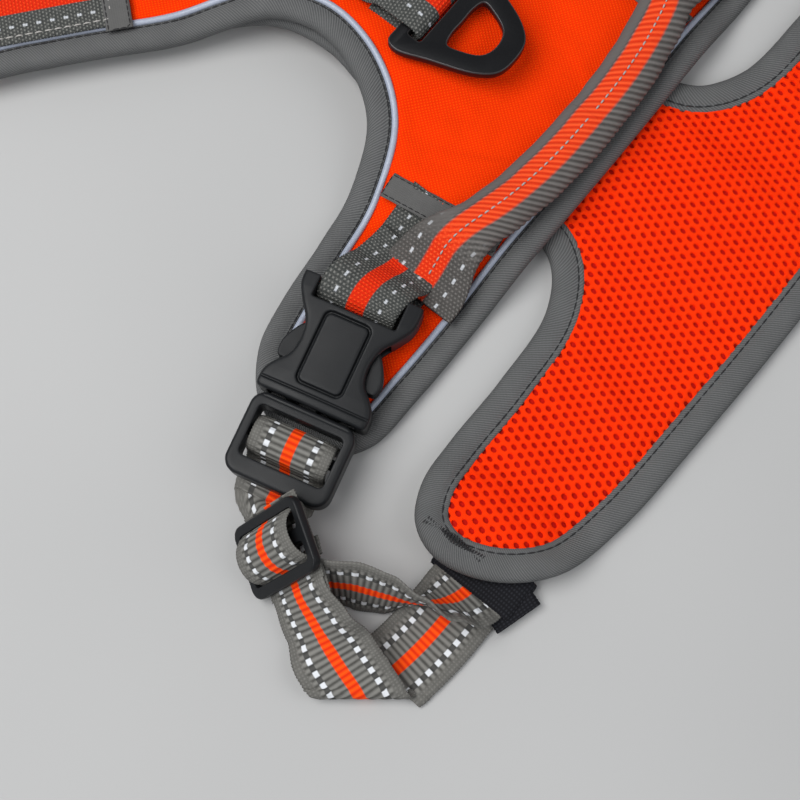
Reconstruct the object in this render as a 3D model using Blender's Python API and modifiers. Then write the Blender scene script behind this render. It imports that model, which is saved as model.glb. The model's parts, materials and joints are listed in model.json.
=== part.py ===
"""A no pull dog harness lying flat, back panel uppermost, with its straps folded at its sides.

Lengths in this file are millimetres and are turned into metres when a mesh is made. X is the dog's right,
Y its front and Z up. Shapes are laid out from a point on the table under the middle of the handle, and the
empty "harness" then moves them so that the frame's origin is at the middle of the object's footprint.
"""
import math

import bmesh
import bpy
from mathutils import Matrix, Vector

MM = 0.001
FOOTPRINT_SHIFT_Y = -61.43       # from the layout point to the frame's origin

# Panels
GAP = 0.3                       # clearance between pieces that touch
COVER = 0.8                     # oxford cover
CHEST_FOAM = 2.8
BACK_FOAM = 3.2
LINING = 1.0                    # air mesh
BINDING_WIDTH_BACK = 7.6
BINDING_WIDTH_CHEST = 9.6
PIPING_WIDTH = 2.0
CHEST_TOP = COVER + GAP + CHEST_FOAM + GAP + LINING
BACK_BASE = CHEST_TOP + 0.9     # underside of the back panel where it lies on the chest plate
BACK_TOP = LINING + GAP + BACK_FOAM + GAP + COVER
RING_LIFT = 6.2                 # the chest ring lies under the plate and lifts it
LOBE_LIFT = 5.6                 # the strap's keeper lies under the lobe's end and lifts it

SHEET_SIZE = (264.0, 294.0)     # the grid that every layer is cut from, so that layers stay parallel
SHEET_CELLS = (12, 13)
SHEET_MIDDLE = (0.0, 46.0, 0.0)

# Webbing
WEBBING = 25.0
WEBBING_THICK = 1.3
HANDLE_WEBBING = 28.0
RIBBON = 8.0

# Fittings
RING_THICK = 3.0
CHEST_RING_THICK = 2.4
BAR_Y = 50.3                    # the leash ring's bar
CHEST_BAR_Y = 82.0
BUCKLE_AT = (-84.0, 8.0, 8.6)
BUCKLE_YAW = 14.7               # the buckle points this far behind the sideways direction
BUCKLE_PITCH = 3.0
SLIDER_AT = (-155.8, -19.6, 14.2)
SLIDER_YAW = 59.0
SLIDER_ROLL = 50.0
NECK_DIRECTION = (-0.774, 0.633)
NECK_LOBE = (-95.0, 165.0)
NECK_SLIDER_OUT = 40.0          # from the lobe's middle to the slider's middle
NECK_FOLD_OUT = 64.0

# Handle
GRIP_HALF = 34.0
GRIP_WIDTH = 15.5
GRIP_HEIGHT = 9.0
GRIP_BOW = -10.0
HANDLE_PIVOT = (0.0, -1.5, 13.8)

BACK_HALF = [
    (0, 118), (-14, 124.5), (-30, 139), (-62, 165.5), (-80, 180.5), (-98, 186), (-113, 177), (-116.5, 163),
    (-108, 149.5), (-90, 135), (-74, 121.8), (-58, 107.8), (-42.1, 96.3), (-32, 87), (-27, 72.7),
    (-30.8, 55.5), (-39.5, 43.2), (-57, 35), (-76, 31.6), (-98, 28.7), (-113, 24.6), (-125, 14.5),
    (-128.8, 1), (-125.5, -12), (-115, -20.2), (-95, -21.8), (-60, -22), (0, -22.5),
]
CHEST_HALF = [
    (0, 112), (-24, 127), (-47, 148), (-68, 165), (-83, 169.5), (-94, 163), (-96.5, 151), (-89, 139),
    (-70, 124), (-52, 109), (-38.5, 97.5), (-30.2, 84.4), (-27.6, 68.1), (-30.5, 50.5), (-32.5, 20),
    (-33, -8), (-36.5, -25), (-50, -34.5), (-75.8, -37), (-99.2, -37), (-115, -38.8), (-125.5, -45),
    (-129.5, -56), (-124.5, -72), (-111, -85.5), (-89.2, -91.2), (-53.4, -93.6), (0, -95),
]

COLOURS = {
    "orange": ((0.95, 0.13, 0.02), 0.75, 0.0),
    "foam": ((0.75, 0.72, 0.65), 0.9, 0.0),
    "grey": ((0.16, 0.16, 0.155), 0.85, 0.0),
    "webbing": ((0.27, 0.26, 0.24), 0.85, 0.0),
    "piping": ((0.45, 0.5, 0.56), 0.4, 0.0),
    "black_webbing": ((0.015, 0.015, 0.018), 0.8, 0.0),
    "plastic": ((0.018, 0.02, 0.022), 0.42, 0.0),
    "anodised": ((0.02, 0.02, 0.022), 0.38, 0.9),
}


def clear_scene():
    """Start from an empty scene."""
    for obj in list(bpy.data.objects):
        bpy.data.objects.remove(obj, do_unlink=True)


def new_collection(name):
    """A collection in the scene."""
    collection = bpy.data.collections.new(name)
    bpy.context.scene.collection.children.link(collection)
    return collection


def principled(name, finish):
    """A material of the piece's own, from the table of finishes."""
    colour, roughness, metallic = COLOURS[finish]
    material = bpy.data.materials.new(name)
    material.use_nodes = True
    shader = material.node_tree.nodes["Principled BSDF"]
    shader.inputs["Base Color"].default_value = (*colour, 1.0)
    shader.inputs["Roughness"].default_value = roughness
    shader.inputs["Metallic"].default_value = metallic
    return material


def empty(name, parent, location, rotation=(0.0, 0.0, 0.0)):
    """A joint axis or a placed frame, in millimetres and degrees."""
    obj = bpy.data.objects.new(name, None)
    parts.objects.link(obj)
    obj.parent = parent
    obj.location = Vector(location) * MM
    obj.rotation_euler = [math.radians(angle) for angle in rotation]
    return obj


def add_part(name, bm, finish, parent=None):
    """Turn a bmesh in millimetres into a named part."""
    bmesh.ops.recalc_face_normals(bm, faces=bm.faces)
    bmesh.ops.scale(bm, vec=(MM, MM, MM), verts=bm.verts)
    mesh = bpy.data.meshes.new(name)
    bm.to_mesh(mesh)
    bm.free()
    obj = bpy.data.objects.new(name, mesh)
    parts.objects.link(obj)
    obj.parent = parent or harness
    mesh.materials.append(principled(name, finish))
    return obj


def add_cutter(name, bm, parent=None):
    """Turn a bmesh in millimetres into a hidden cutter."""
    obj = add_part(name, bm, "foam", parent)
    parts.objects.unlink(obj)
    cutters.objects.link(obj)
    obj.hide_render = True
    obj.display_type = "WIRE"
    return obj


def boolean(obj, cutter, operation):
    """Cut, join or clip a part with another object."""
    modifier = obj.modifiers.new(cutter.name, "BOOLEAN")
    modifier.operation = operation
    modifier.solver = "EXACT"
    modifier.object = cutter


def bevel(obj, width, segments=2, angle=40.0):
    """Round the part's sharp edges."""
    modifier = obj.modifiers.new("rounded", "BEVEL")
    modifier.width = width * MM
    modifier.segments = segments
    modifier.limit_method = "ANGLE"
    modifier.angle_limit = math.radians(angle)


def smooth_step(low, high, value):
    """0 below low, 1 above high, and a smooth change between."""
    t = min(max((value - low) / (high - low), 0.0), 1.0)
    return t * t * (3.0 - 2.0 * t)


def spline_point(p0, p1, p2, p3, t):
    """A point between p1 and p2 on a centripetal Catmull-Rom spline."""
    knots = [0.0]
    for a, b in ((p0, p1), (p1, p2), (p2, p3)):
        knots.append(knots[-1] + max((b - a).length, 1e-6) ** 0.5)
    k0, k1, k2, k3 = knots
    u = k1 + (k2 - k1) * t
    a1 = p0 * ((k1 - u) / (k1 - k0)) + p1 * ((u - k0) / (k1 - k0))
    a2 = p1 * ((k2 - u) / (k2 - k1)) + p2 * ((u - k1) / (k2 - k1))
    a3 = p2 * ((k3 - u) / (k3 - k2)) + p3 * ((u - k2) / (k3 - k2))
    b1 = a1 * ((k2 - u) / (k2 - k0)) + a2 * ((u - k0) / (k2 - k0))
    b2 = a2 * ((k3 - u) / (k3 - k1)) + a3 * ((u - k1) / (k3 - k1))
    return b1 * ((k2 - u) / (k2 - k1)) + b2 * ((u - k1) / (k2 - k1))


def smooth_loop(points, steps):
    """A smooth closed loop through the points."""
    loop = [Vector(p) for p in points]
    count = len(loop)
    out = []
    for i in range(count):
        around = [loop[(i + k) % count] for k in (-1, 0, 1, 2)]
        out += [spline_point(*around, s / steps) for s in range(steps)]
    return out


def mirrored(half):
    """A whole outline from its left half, which starts and ends on the middle line."""
    return list(half) + [(-x, y) for x, y in reversed(half) if x]


def inset(loop, distance):
    """The counter-clockwise loop moved inwards."""
    out = []
    count = len(loop)
    for i, point in enumerate(loop):
        along = (loop[(i + 1) % count] - loop[i - 1]).normalized()
        out.append(point + Vector((-along.y, along.x)) * distance)
    return out


def filled(loops, low, high):
    """A bmesh of the flat outlines, the first the outer one, between two heights."""
    curve = bpy.data.curves.new("outline", "CURVE")
    curve.dimensions = "2D"
    curve.fill_mode = "BOTH"
    curve.extrude = (high - low) / 2
    for loop in loops:
        spline = curve.splines.new("POLY")
        spline.points.add(len(loop) - 1)
        spline.use_cyclic_u = True
        for control, point in zip(spline.points, loop):
            control.co = (point[0], point[1], 0.0, 1.0)
    source = bpy.data.objects.new("outline", curve)
    parts.objects.link(source)
    evaluated = source.evaluated_get(bpy.context.evaluated_depsgraph_get())
    mesh = bpy.data.meshes.new_from_object(evaluated)
    bpy.data.objects.remove(source, do_unlink=True)
    bm = bmesh.new()
    bm.from_mesh(mesh)
    bmesh.ops.remove_doubles(bm, verts=bm.verts, dist=0.001)
    bmesh.ops.translate(bm, verts=bm.verts, vec=(0.0, 0.0, (low + high) / 2))
    return bm


def box(low, high):
    """A bmesh box between two corners."""
    bm = bmesh.new()
    bmesh.ops.create_cube(bm, size=1.0)
    low, high = Vector(low), Vector(high)
    bmesh.ops.scale(bm, vec=high - low, verts=bm.verts)
    bmesh.ops.translate(bm, vec=(low + high) / 2, verts=bm.verts)
    return bm


def rounded_box_loop(x_low, x_high, half_width, radius, arc=3):
    """A rectangle with round corners, symmetric about the X axis."""
    loop = []
    corners = ((x_high - radius, half_width - radius, 0), (x_low + radius, half_width - radius, 90),
               (x_low + radius, radius - half_width, 180), (x_high - radius, radius - half_width, 270))
    for x, y, start in corners:
        for i in range(arc + 1):
            angle = math.radians(start + 90 * i / arc)
            loop.append((x + radius * math.cos(angle), y + radius * math.sin(angle)))
    return loop


# ---------------------------------------------------------------- how the panels lie

def plate_rise(x, y):
    """How far the chest plate is lifted off the table by the ring and the keepers under it."""
    ring = RING_LIFT * (1 - smooth_step(27, 62, math.hypot(x, y - 76)))
    lobe = LOBE_LIFT * smooth_step(94, 116, abs(x)) * (1 - smooth_step(-45, -25, y))
    return ring + lobe


def panel_rise(x, y):
    """The back panel lies over the chest plate and drops to the table beside it."""
    beside = smooth_step(41, 68, abs(x)) * (1 - smooth_step(66, 92, y))
    ring = RING_LIFT * (1 - smooth_step(27, 62, math.hypot(x, y - 76)))
    return BACK_BASE * (1 - beside) + ring


def draped_layer(name, low, high, rise, outlines, finish):
    """A sheet of even thickness that follows the rise, clipped to its outline."""
    bm = bmesh.new()
    bmesh.ops.create_grid(bm, x_segments=SHEET_CELLS[0], y_segments=SHEET_CELLS[1], size=0.5)
    bmesh.ops.scale(bm, vec=(*SHEET_SIZE, 1), verts=bm.verts)
    bmesh.ops.translate(bm, vec=SHEET_MIDDLE, verts=bm.verts)
    for vert in bm.verts:
        vert.co.z = low + rise(vert.co.x, vert.co.y)
    bmesh.ops.triangulate(bm, faces=bm.faces, quad_method="FIXED")
    grown = bmesh.ops.extrude_face_region(bm, geom=bm.faces[:])["geom"]
    upper = [item for item in grown if isinstance(item, bmesh.types.BMVert)]
    bmesh.ops.translate(bm, vec=(0, 0, high - low), verts=upper)
    layer = add_part(name, bm, finish)
    prism = add_cutter(name + "_outline", filled(outlines, -20, 60))
    boolean(layer, prism, "INTERSECT")
    return layer


def build_panels():
    """Cover, foam, lining, binding and piping of the back panel and the chest plate."""
    back = smooth_loop(mirrored(BACK_HALF), 2)
    edge = inset(back, BINDING_WIDTH_BACK)
    cord = inset(back, BINDING_WIDTH_BACK + GAP)
    cord_inner = inset(back, BINDING_WIDTH_BACK + GAP + PIPING_WIDTH)
    cover = inset(back, BINDING_WIDTH_BACK + 2 * GAP + PIPING_WIDTH)
    foam_low = LINING + GAP
    foam_high = foam_low + BACK_FOAM
    draped_layer("back_binding", 0, BACK_TOP + 0.3, panel_rise, (back, edge), "grey")
    draped_layer("back_lining", 0, LINING, panel_rise, (cord,), "orange")
    draped_layer("back_padding", foam_low, foam_high, panel_rise, (cord,), "foam")
    draped_layer("back_piping", foam_high + GAP, BACK_TOP + 0.3, panel_rise, (cord, cord_inner), "piping")
    draped_layer("back_cover", foam_high + GAP, BACK_TOP, panel_rise, (cover,), "orange")

    chest = smooth_loop(mirrored(CHEST_HALF), 2)
    edge = inset(chest, BINDING_WIDTH_CHEST)
    inner = inset(chest, BINDING_WIDTH_CHEST + GAP)
    foam_low = COVER + GAP
    foam_high = foam_low + CHEST_FOAM
    draped_layer("chest_binding", 0, CHEST_TOP, plate_rise, (chest, edge), "grey")
    draped_layer("chest_cover", 0, COVER, plate_rise, (inner,), "orange")
    draped_layer("chest_padding", foam_low, foam_high, plate_rise, (inner,), "foam")
    draped_layer("chest_lining", foam_high + GAP, CHEST_TOP, plate_rise, (inner,), "orange")


# ---------------------------------------------------------------- webbing

def strap(name, stations, width, thickness, finish, parent=None, steps=3):
    """Webbing through stations of a middle point and the direction across it.

    A station with a third value lies on a fold that crosses the webbing at a slant.
    """
    centres = [Vector(s[0]) for s in stations]
    across = [Vector(s[1]).normalized() for s in stations]
    oblique = {i * steps for i, station in enumerate(stations) if len(station) > 2}
    oblique |= {i + s for i in oblique for s in range(steps) if i + steps in oblique}
    last = len(stations) - 1
    route = []
    for i in range(last):
        picks = [max(0, i - 1), i, i + 1, min(last, i + 2)]
        ends = [centres[k] for k in picks]
        ends[0] = ends[0] if i else centres[0] * 2 - centres[1]
        ends[3] = ends[3] if i + 2 <= last else centres[last] * 2 - centres[last - 1]
        for s in range(steps):
            t = s / steps
            route.append((spline_point(*ends, t), across[i].lerp(across[i + 1], t).normalized()))
    route.append((centres[last], across[last]))
    bm = bmesh.new()
    rings = []
    for k, (centre, side) in enumerate(route):
        before = route[max(k - 1, 0)][0]
        after = route[min(k + 1, len(route) - 1)][0]
        along = (after - before).normalized()
        square = side - along * side.dot(along)
        if k in oblique:
            side = side * (width / 2) / square.length
        else:
            side = square.normalized() * (width / 2)
        up = side.cross(along).normalized() * (thickness / 2)
        corners = (centre - side - up, centre + side - up, centre + side + up, centre - side + up)
        rings.append([bm.verts.new(corner) for corner in corners])
    for a, b in zip(rings, rings[1:]):
        # Both wide faces are split along parallel diagonals, so a twist keeps its thickness.
        for corners in ((a[0], a[1], b[1]), (a[0], b[1], b[0]), (a[3], b[2], a[2]), (a[3], b[3], b[2]),
                        (a[1], a[2], b[2], b[1]), (a[3], a[0], b[0], b[3])):
            bm.faces.new(corners)
    bm.faces.new(rings[0])
    bm.faces.new(reversed(rings[-1]))
    return add_part(name, bm, finish, parent)


def laid_strap(name, start, end, width, thickness, height, finish):
    """Webbing sewn flat on the back panel, following the panel's surface."""
    start, end = Vector(start), Vector(end)
    along = (end - start).normalized()
    side = Vector((along.y, -along.x)) * (width / 2)
    outline = (start + side, end + side, end - side, start - side)
    low = BACK_TOP + height
    return draped_layer(name, low, low + thickness, panel_rise, (outline,), finish)


def sheet_rise(x):
    """The back panel's rise at its rear arms, read between the columns of the grid."""
    cell = SHEET_SIZE[0] / SHEET_CELLS[0]
    column = math.floor((x + SHEET_SIZE[0] / 2) / cell)
    near = column * cell - SHEET_SIZE[0] / 2
    share = (x - near) / cell
    return panel_rise(near, 0) * (1 - share) + panel_rise(near + cell, 0) * share


def flipped(stations, side):
    """The stations for the left side (-1) as given, or mirrored for the right side (1)."""
    if side < 0:
        return stations
    return [((-c[0], c[1], c[2]), (-a[0], a[1], a[2]), *rest) for c, a, *rest in stations]


def ring_loop(name, bar_y, bar_z, ring_thick, thickness, up, tail, finish):
    """Webbing that comes along the panel, goes round a ring's bar and back under itself.

    up is 1 for a ring on top of its panel and -1 for a ring under it.
    """
    inner = ring_thick / 2 + GAP + thickness / 2
    outer = inner + 0.05
    profile = [
        (14.0, -inner), (6.0, -inner), (-2.6, -inner), (-4.3, -inner * 0.72), (-4.95, 0.0),
        (-4.3, inner * 0.75), (-2.4, outer), (4.5, outer), (10.5, outer - 0.4),
        (17.0, -inner + thickness + GAP), (tail, -inner + thickness + GAP),
    ]
    stations = [((0, bar_y + dy, bar_z + up * dz), (1, 0, 0)) for dy, dz in profile]
    return strap(name, stations, WEBBING, thickness, finish, steps=2)


def build_sewn_webbing():
    """Ribbons, side webbing and neck webbing on the back panel, and the webbing of the rings."""
    neck = Vector(NECK_DIRECTION)
    lobe = Vector(NECK_LOBE)
    for side, word in ((-1, "left"), (1, "right")):
        flip = -side
        laid_strap("rear_ribbon_" + word, (-49.0 * flip, 24.5), (-44.0 * flip, -11.5), RIBBON, 0.5, 0.3,
                   "grey")
        across = Vector((neck.y, -neck.x))
        middle = lobe - neck * 52
        ends = [middle - across * 13, middle + across * 13]
        start, end = [(x * flip, y) for x, y in ends]
        laid_strap("neck_ribbon_" + word, start, end, RIBBON, 0.5, 0.3, "grey")
        ends = [lobe - neck * 47, lobe + neck * (NECK_SLIDER_OUT - 14.5)]
        start, end = [(x * flip, y) for x, y in ends]
        laid_strap("neck_webbing_" + word, start, end, WEBBING, WEBBING_THICK, 0.6, "webbing")
        sewn = [((-53.0, 7.0, 0), (0, 1, 0)), ((-62, 7.0, 0), (0, 1, 0)), ((-70, 7.2, 0), (0, 1, 0))]
        stations = []
        for (x, y, _), direction in sewn:
            z = BACK_TOP + 0.8 + WEBBING_THICK / 2 + sheet_rise(x)
            stations.append(((x, y, z), direction))
        stations += [
            ((-73.8, 8.4, 11.2), (-0.1, 1, 0)), ((-76.4, 9.8, 14.4), (-0.25, 1, 0)),
            ((-80.0, 9.0, 15.2), (-0.25, 1, 0)), ((-84.2, 8.0, 13.6), (-0.25, 1, 0)),
            ((-86.6, 7.4, 10.8), (-0.25, 1, 0)),
        ]
        strap("side_webbing_" + word, flipped(stations, side), WEBBING, WEBBING_THICK, "webbing")
    top = BACK_TOP + panel_rise(0, BAR_Y)
    bar_z = top + GAP + WEBBING_THICK + GAP + RING_THICK / 2 + 0.3
    ring_loop("leash_webbing", BAR_Y, bar_z, RING_THICK, WEBBING_THICK, 1, 56, "webbing")
    under = plate_rise(0, CHEST_BAR_Y)
    chest_bar_z = under - 2 * GAP - 1.0 - GAP - CHEST_RING_THICK / 2
    ring_loop("chest_webbing", CHEST_BAR_Y, chest_bar_z, CHEST_RING_THICK, 1.0, -1, 20, "black_webbing")
    return bar_z, chest_bar_z


# ---------------------------------------------------------------- rings

RING_HALF = [(0, -32.2), (-6.5, -31), (-11, -26), (-16.5, -12), (-20.0, -2.0), (-18.8, 1.8), (-14, 2.5),
             (0, 2.5)]
EYE_HALF = [(0, -25.2), (-5.0, -23.6), (-8.2, -17.5), (-8.9, -13.4), (-5.5, -12.2), (0, -12.2)]


def build_ring(name, joint, y, z, thickness, finish):
    """A flat ring whose bar is on the joint's axis and whose eye points to the rear."""
    axis = empty(joint, harness, (0, y, z))
    outer = smooth_loop(mirrored(RING_HALF), 3)
    ring = add_part(name, filled((outer,), -thickness / 2, thickness / 2), finish, axis)
    eye = add_cutter(name + "_eye", filled((smooth_loop(mirrored(EYE_HALF), 3),), -5, 5), axis)
    slot = add_cutter(name + "_slot", box((-13.6, -6.6, -5), (13.6, -2.5, 5)), axis)
    boolean(ring, eye, "DIFFERENCE")
    boolean(ring, slot, "DIFFERENCE")
    bevel(ring, 0.5, 1)


# ---------------------------------------------------------------- handle

def oval_tube(name, stations, finish, parent, wall=None):
    """A tube of oval section, (x, y, z, width, height) at each station, open at both ends if it has a wall."""
    count = 12
    bm = bmesh.new()
    skins = []
    for shrink in ((0.0, wall) if wall else (0.0,)):
        rings = []
        for x, y, z, width, height in stations:
            ring = []
            for k in range(count):
                angle = 2 * math.pi * k / count
                across = (width / 2 - shrink) * math.cos(angle)
                up = (height / 2 - shrink) * math.sin(angle)
                ring.append(bm.verts.new((x, y + across, z + up)))
            rings.append(ring)
        for a, b in zip(rings, rings[1:]):
            for k in range(count):
                bm.faces.new((a[k], b[k], b[(k + 1) % count], a[(k + 1) % count]))
        skins.append(rings)
    for end in (0, -1):
        if wall:
            for k in range(count):
                n = (k + 1) % count
                bm.faces.new((skins[0][end][k], skins[0][end][n], skins[1][end][n], skins[1][end][k]))
        else:
            bm.faces.new(skins[0][end])
    return add_part(name, bm, finish, parent)


def grip_middle(x):
    """Where the middle of the grip lies, bowed to the rear and lifted off the panel."""
    bow = GRIP_BOW * (1 - (abs(x) / 58.0) ** 2.4)
    return bow, 18.6


def build_handle():
    """Flat webbing ends, the folds beside them, the rolled grip and the core inside it."""
    lift = empty("handle_lift_axis", harness, HANDLE_PIVOT)
    pivot = Vector(HANDLE_PIVOT)
    stations = []
    core = []
    for k in range(9):
        x = GRIP_HALF * (k / 4 - 1)
        y, z = grip_middle(x)
        stations.append((x, y - pivot.y, z - pivot.z, GRIP_WIDTH, GRIP_HEIGHT))
        core.append((x * 0.985, y - pivot.y, z - pivot.z, GRIP_WIDTH - 5.6, GRIP_HEIGHT - 5.6))
    oval_tube("handle_grip", stations, "webbing", lift, wall=2.4)
    oval_tube("handle_core", core, "foam", lift)
    for side, word in ((-1, "left"), (1, "right")):
        tab = []
        for x in (-70.0, -64.5, -58.5, -52.0):
            z = BACK_TOP + 3.3 + WEBBING_THICK / 2 + sheet_rise(x)
            tab.append(((x, -1.5, z), (0, 1, 0)))
        strap("handle_tab_" + word, flipped(tab, side), HANDLE_WEBBING, 1.6, "webbing", steps=1)
        y, z = grip_middle(GRIP_HALF)
        fold = []
        for t in (0.0, 0.3, 0.65, 1.0):
            x = 51.6 + (GRIP_HALF + GAP - 51.6) * t
            low = tab[-1][0][2]
            width = HANDLE_WEBBING - 2 + (GRIP_WIDTH - HANDLE_WEBBING + 2) * smooth_step(0, 1, t)
            height = 2.2 + (GRIP_HEIGHT - 2.2) * t
            fold.append((x * side, -1.5 + (y + 1.5) * t, low + (z - low) * t, width, height))
        oval_tube("handle_fold_" + word, fold, "webbing", harness)


# ---------------------------------------------------------------- buckle

SOCKET_HALF = [
    (-5.5, 13.4), (-6.2, 15.6), (-4.5, 17.6), (3, 18.0), (8, 15.4), (13, 12.0), (19, 10.9), (24, 11.9),
    (27.5, 15.0), (31, 17.0), (36, 17.2),
]
PRONG = [
    (35.4, 4.6), (36.0, 5.6), (36.0, 7.6), (35.4, 8.6), (31.0, 10.4), (28.0, 12.3), (25.8, 12.9),
    (25.2, 15.3), (21.5, 16.0), (17.0, 14.4), (13.2, 11.6), (12.0, 8.6), (14.2, 8.0), (19.5, 10.6),
    (25.0, 9.2), (30.5, 5.6),
]
PRONG_PIVOT = (35.4, 6.6, 0.0)


def build_buckle(side, word):
    """Socket on the back panel's webbing, plug on the adjusting strap, and the plug's two prongs."""
    yaw = 180 + BUCKLE_YAW if side < 0 else -BUCKLE_YAW
    at = (BUCKLE_AT[0] * -side, BUCKLE_AT[1], BUCKLE_AT[2])
    frame = empty("buckle_frame_" + word, harness, at, (0, BUCKLE_PITCH, yaw))

    outline = [*SOCKET_HALF, *[(x, -y) for x, y in reversed(SOCKET_HALF)]]
    socket = add_part("buckle_socket_" + word, filled((outline,), 0, 10.8), "plastic", frame)
    bevel(socket, 1.2, 2, 50)
    cuts = {
        "strap_slot": box((-1.2, -13.2, -1), (6.0, 13.2, 12)),
        "bar_top": box((-9, -13.2, 4.2), (-1.1, 13.2, 12)),
        "mouth": box((8.6, -13.6, 2.2), (38, 13.6, 8.6)),
        "label": filled((rounded_box_loop(8.4, 30.5, 7.0, 2.4),), 10.3, 12),
    }
    for cut, shape in cuts.items():
        cutter = add_cutter("socket_" + cut + "_" + word, shape, frame)
        boolean(socket, cutter, "DIFFERENCE")

    body = empty("buckle_release_axis_" + word, frame, (36.3, 0, 5.4))
    plug = add_part("buckle_plug_" + word, filled((rounded_box_loop(0, 25.4, 16.2, 3.6, 4),), -4.5, 4.9),
                    "plastic", body)
    bevel(plug, 1.2, 2, 50)
    window = add_cutter("plug_window_" + word, filled((rounded_box_loop(4.2, 19.8, 13.2, 1.2, 2),), -9, 9),
                        body)
    boolean(plug, window, "DIFFERENCE")
    bar = add_cutter("plug_bar_" + word, box((10.2, -14.5, -1.6), (13.4, 14.5, 1.4)), body)
    boolean(plug, bar, "UNION")
    guide = add_cutter("plug_guide_" + word, box((-20, -2, -1.4), (2.0, 2, 1.4)), body)
    boolean(plug, guide, "UNION")

    for half, hand in ((1, "a"), (-1, "b")):
        pivot = (PRONG_PIVOT[0] - 36.3, PRONG_PIVOT[1] * half, 0)
        axis = empty("prong_axis_" + word + "_" + hand, body, pivot)
        loop = [(x - PRONG_PIVOT[0], (y - PRONG_PIVOT[1]) * half) for x, y in PRONG]
        prong = add_part("buckle_prong_" + word + "_" + hand, filled((loop,), -2.8, 2.8), "plastic", axis)
        bevel(prong, 0.4, 1)
    return body


# ---------------------------------------------------------------- sliders and straps

def build_slider(name, axis):
    """A three bar slider with its middle bar across the strap; local X runs along the strap."""
    slider = add_part(name, filled((rounded_box_loop(-11, 11, 15.6, 3.2),), -1.3, 1.3), "plastic", axis)
    bevel(slider, 0.5, 1)
    for word, low, high in (("near", -8.0, -1.9), ("far", 1.9, 8.0)):
        shape = filled((rounded_box_loop(low, high, 13.1, 1.0, 2),), -4, 4)
        boolean(slider, add_cutter(name + "_" + word, shape, axis), "DIFFERENCE")


def slider_hump(name, axis):
    """The webbing that goes under the slider's frame and over its middle bar."""
    profile = [(-14.2, -2.3), (-10.5, -2.4), (-6.2, -1.6), (-4.0, 1.4), (-1.6, 3.0), (1.6, 3.0),
               (4.0, 1.4), (6.2, -1.6), (10.5, -2.4), (14.2, -2.3)]
    stations = [((x, 0, z), (0, 1, 0)) for x, z in profile]
    strap(name, stations, WEBBING, 1.2, "webbing", axis, steps=1)


def world_point(frame, point):
    """A point of a placed frame in layout coordinates."""
    bpy.context.view_layer.update()
    local = harness.matrix_world.inverted() @ frame.matrix_world @ (Vector(point) * MM)
    return local / MM


def build_side_straps(side, word, plug_axis):
    """The adjusting strap: plug, slider, fold, keeper and back."""
    yaw = 180 + SLIDER_YAW if side < 0 else -SLIDER_YAW
    at = (SLIDER_AT[0] * -side, SLIDER_AT[1], SLIDER_AT[2])
    axis = empty("side_slider_axis_" + word, harness, at, (-SLIDER_ROLL * side, 0, yaw))
    build_slider("side_slider_" + word, axis)
    slider_hump("slider_strap_" + word, axis)

    mirror = -side
    across = world_point(axis, (0, 1, 0)) - world_point(axis, (0, 0, 0))
    across = across if across.x * mirror > 0 else -across
    across = (across.x * mirror, across.y, across.z)
    ends = [world_point(axis, (x, 0, -2.3)) for x in (15.3, 20.0)]
    far, far_out = [(p.x * mirror, p.y, p.z) for p in ends]

    profile = [(7.0, -3.4), (7.8, 1.8), (9.6, 3.6), (14.0, 3.6), (15.8, 1.8), (17.0, -3.2), (18.2, -5.8),
               (22.0, -6.4), (29.6, -5.6)]
    turn = (0.254, -0.967, 0.0)
    stations = []
    for x, z in profile:
        p = world_point(plug_axis, (x, 0, z))
        stations.append(((p.x * mirror, p.y, p.z), turn))
    strap("plug_strap_" + word, flipped(stations, side), WEBBING, WEBBING_THICK, "webbing", steps=2)

    fold_line = Vector((0.63, -0.777, 0))
    outward = Vector((-0.777, -0.63, 0))
    stations = [(far, across), (far_out, across), ((-170.0, -50.0, 7.4), (0.75, -0.56, 0.3))]
    centre = Vector((-171.5, -60.5, 3.4))
    radius = 2.3
    for k in range(5):
        angle = math.pi * k / 4
        spoke = outward * math.sin(angle) + Vector((0, 0, math.cos(angle)))
        point = centre + spoke * radius + fold_line * (4.0 * k / 4)
        stations.append((tuple(point), tuple(fold_line), True))
    stations += [((-160.0, -66.0, 1.2), (0.2, -0.98, 0)), ((-148.0, -67.6, 1.2), (0.0, -1, 0)),
                 ((-135.0, -68.0, 1.75), (0.0, -1, 0)), ((-130.0, -68.0, 1.75), (0.0, -1, 0))]
    strap("side_strap_" + word, flipped(stations, side), WEBBING, 1.2, "webbing", steps=2)

    stations = [
        ((-130.0, -68.0, 3.2), (0.0, -1, 0)), ((-134.5, -68.0, 3.3), (0.0, -1, 0)),
        ((-138.5, -67.0, 8.2), (0.0, -1, 0.12)), ((-142.0, -64.0, 13.0), (0.2, -0.85, 0.45)),
        ((-147.0, -57.0, 15.0), (0.25, -0.5, 0.85)), ((-151.0, -47.0, 14.8), (0.25, -0.3, 0.95)),
    ]
    strap("return_strap_" + word, flipped(stations, side), WEBBING, 1.2, "webbing", steps=2)

    build_keeper("strap_keeper_" + word, side)


def build_keeper(name, side):
    """A flat loop of black webbing under the lobe's end, with its folded end sticking out."""
    loop = box((-133.5, -86.5, 0.2), (-119.5, -54.1, 4.8))
    keeper = add_part(name, loop, "black_webbing")
    inside = add_cutter(name + "_inside", box((-140, -81.4, 0.9), (-110, -54.9, 4.15)))
    boolean(keeper, inside, "DIFFERENCE")
    if side > 0:
        for obj in (keeper, inside):
            obj.data.transform(Matrix.Diagonal((-1, 1, 1, 1)))
            obj.data.flip_normals()


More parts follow.
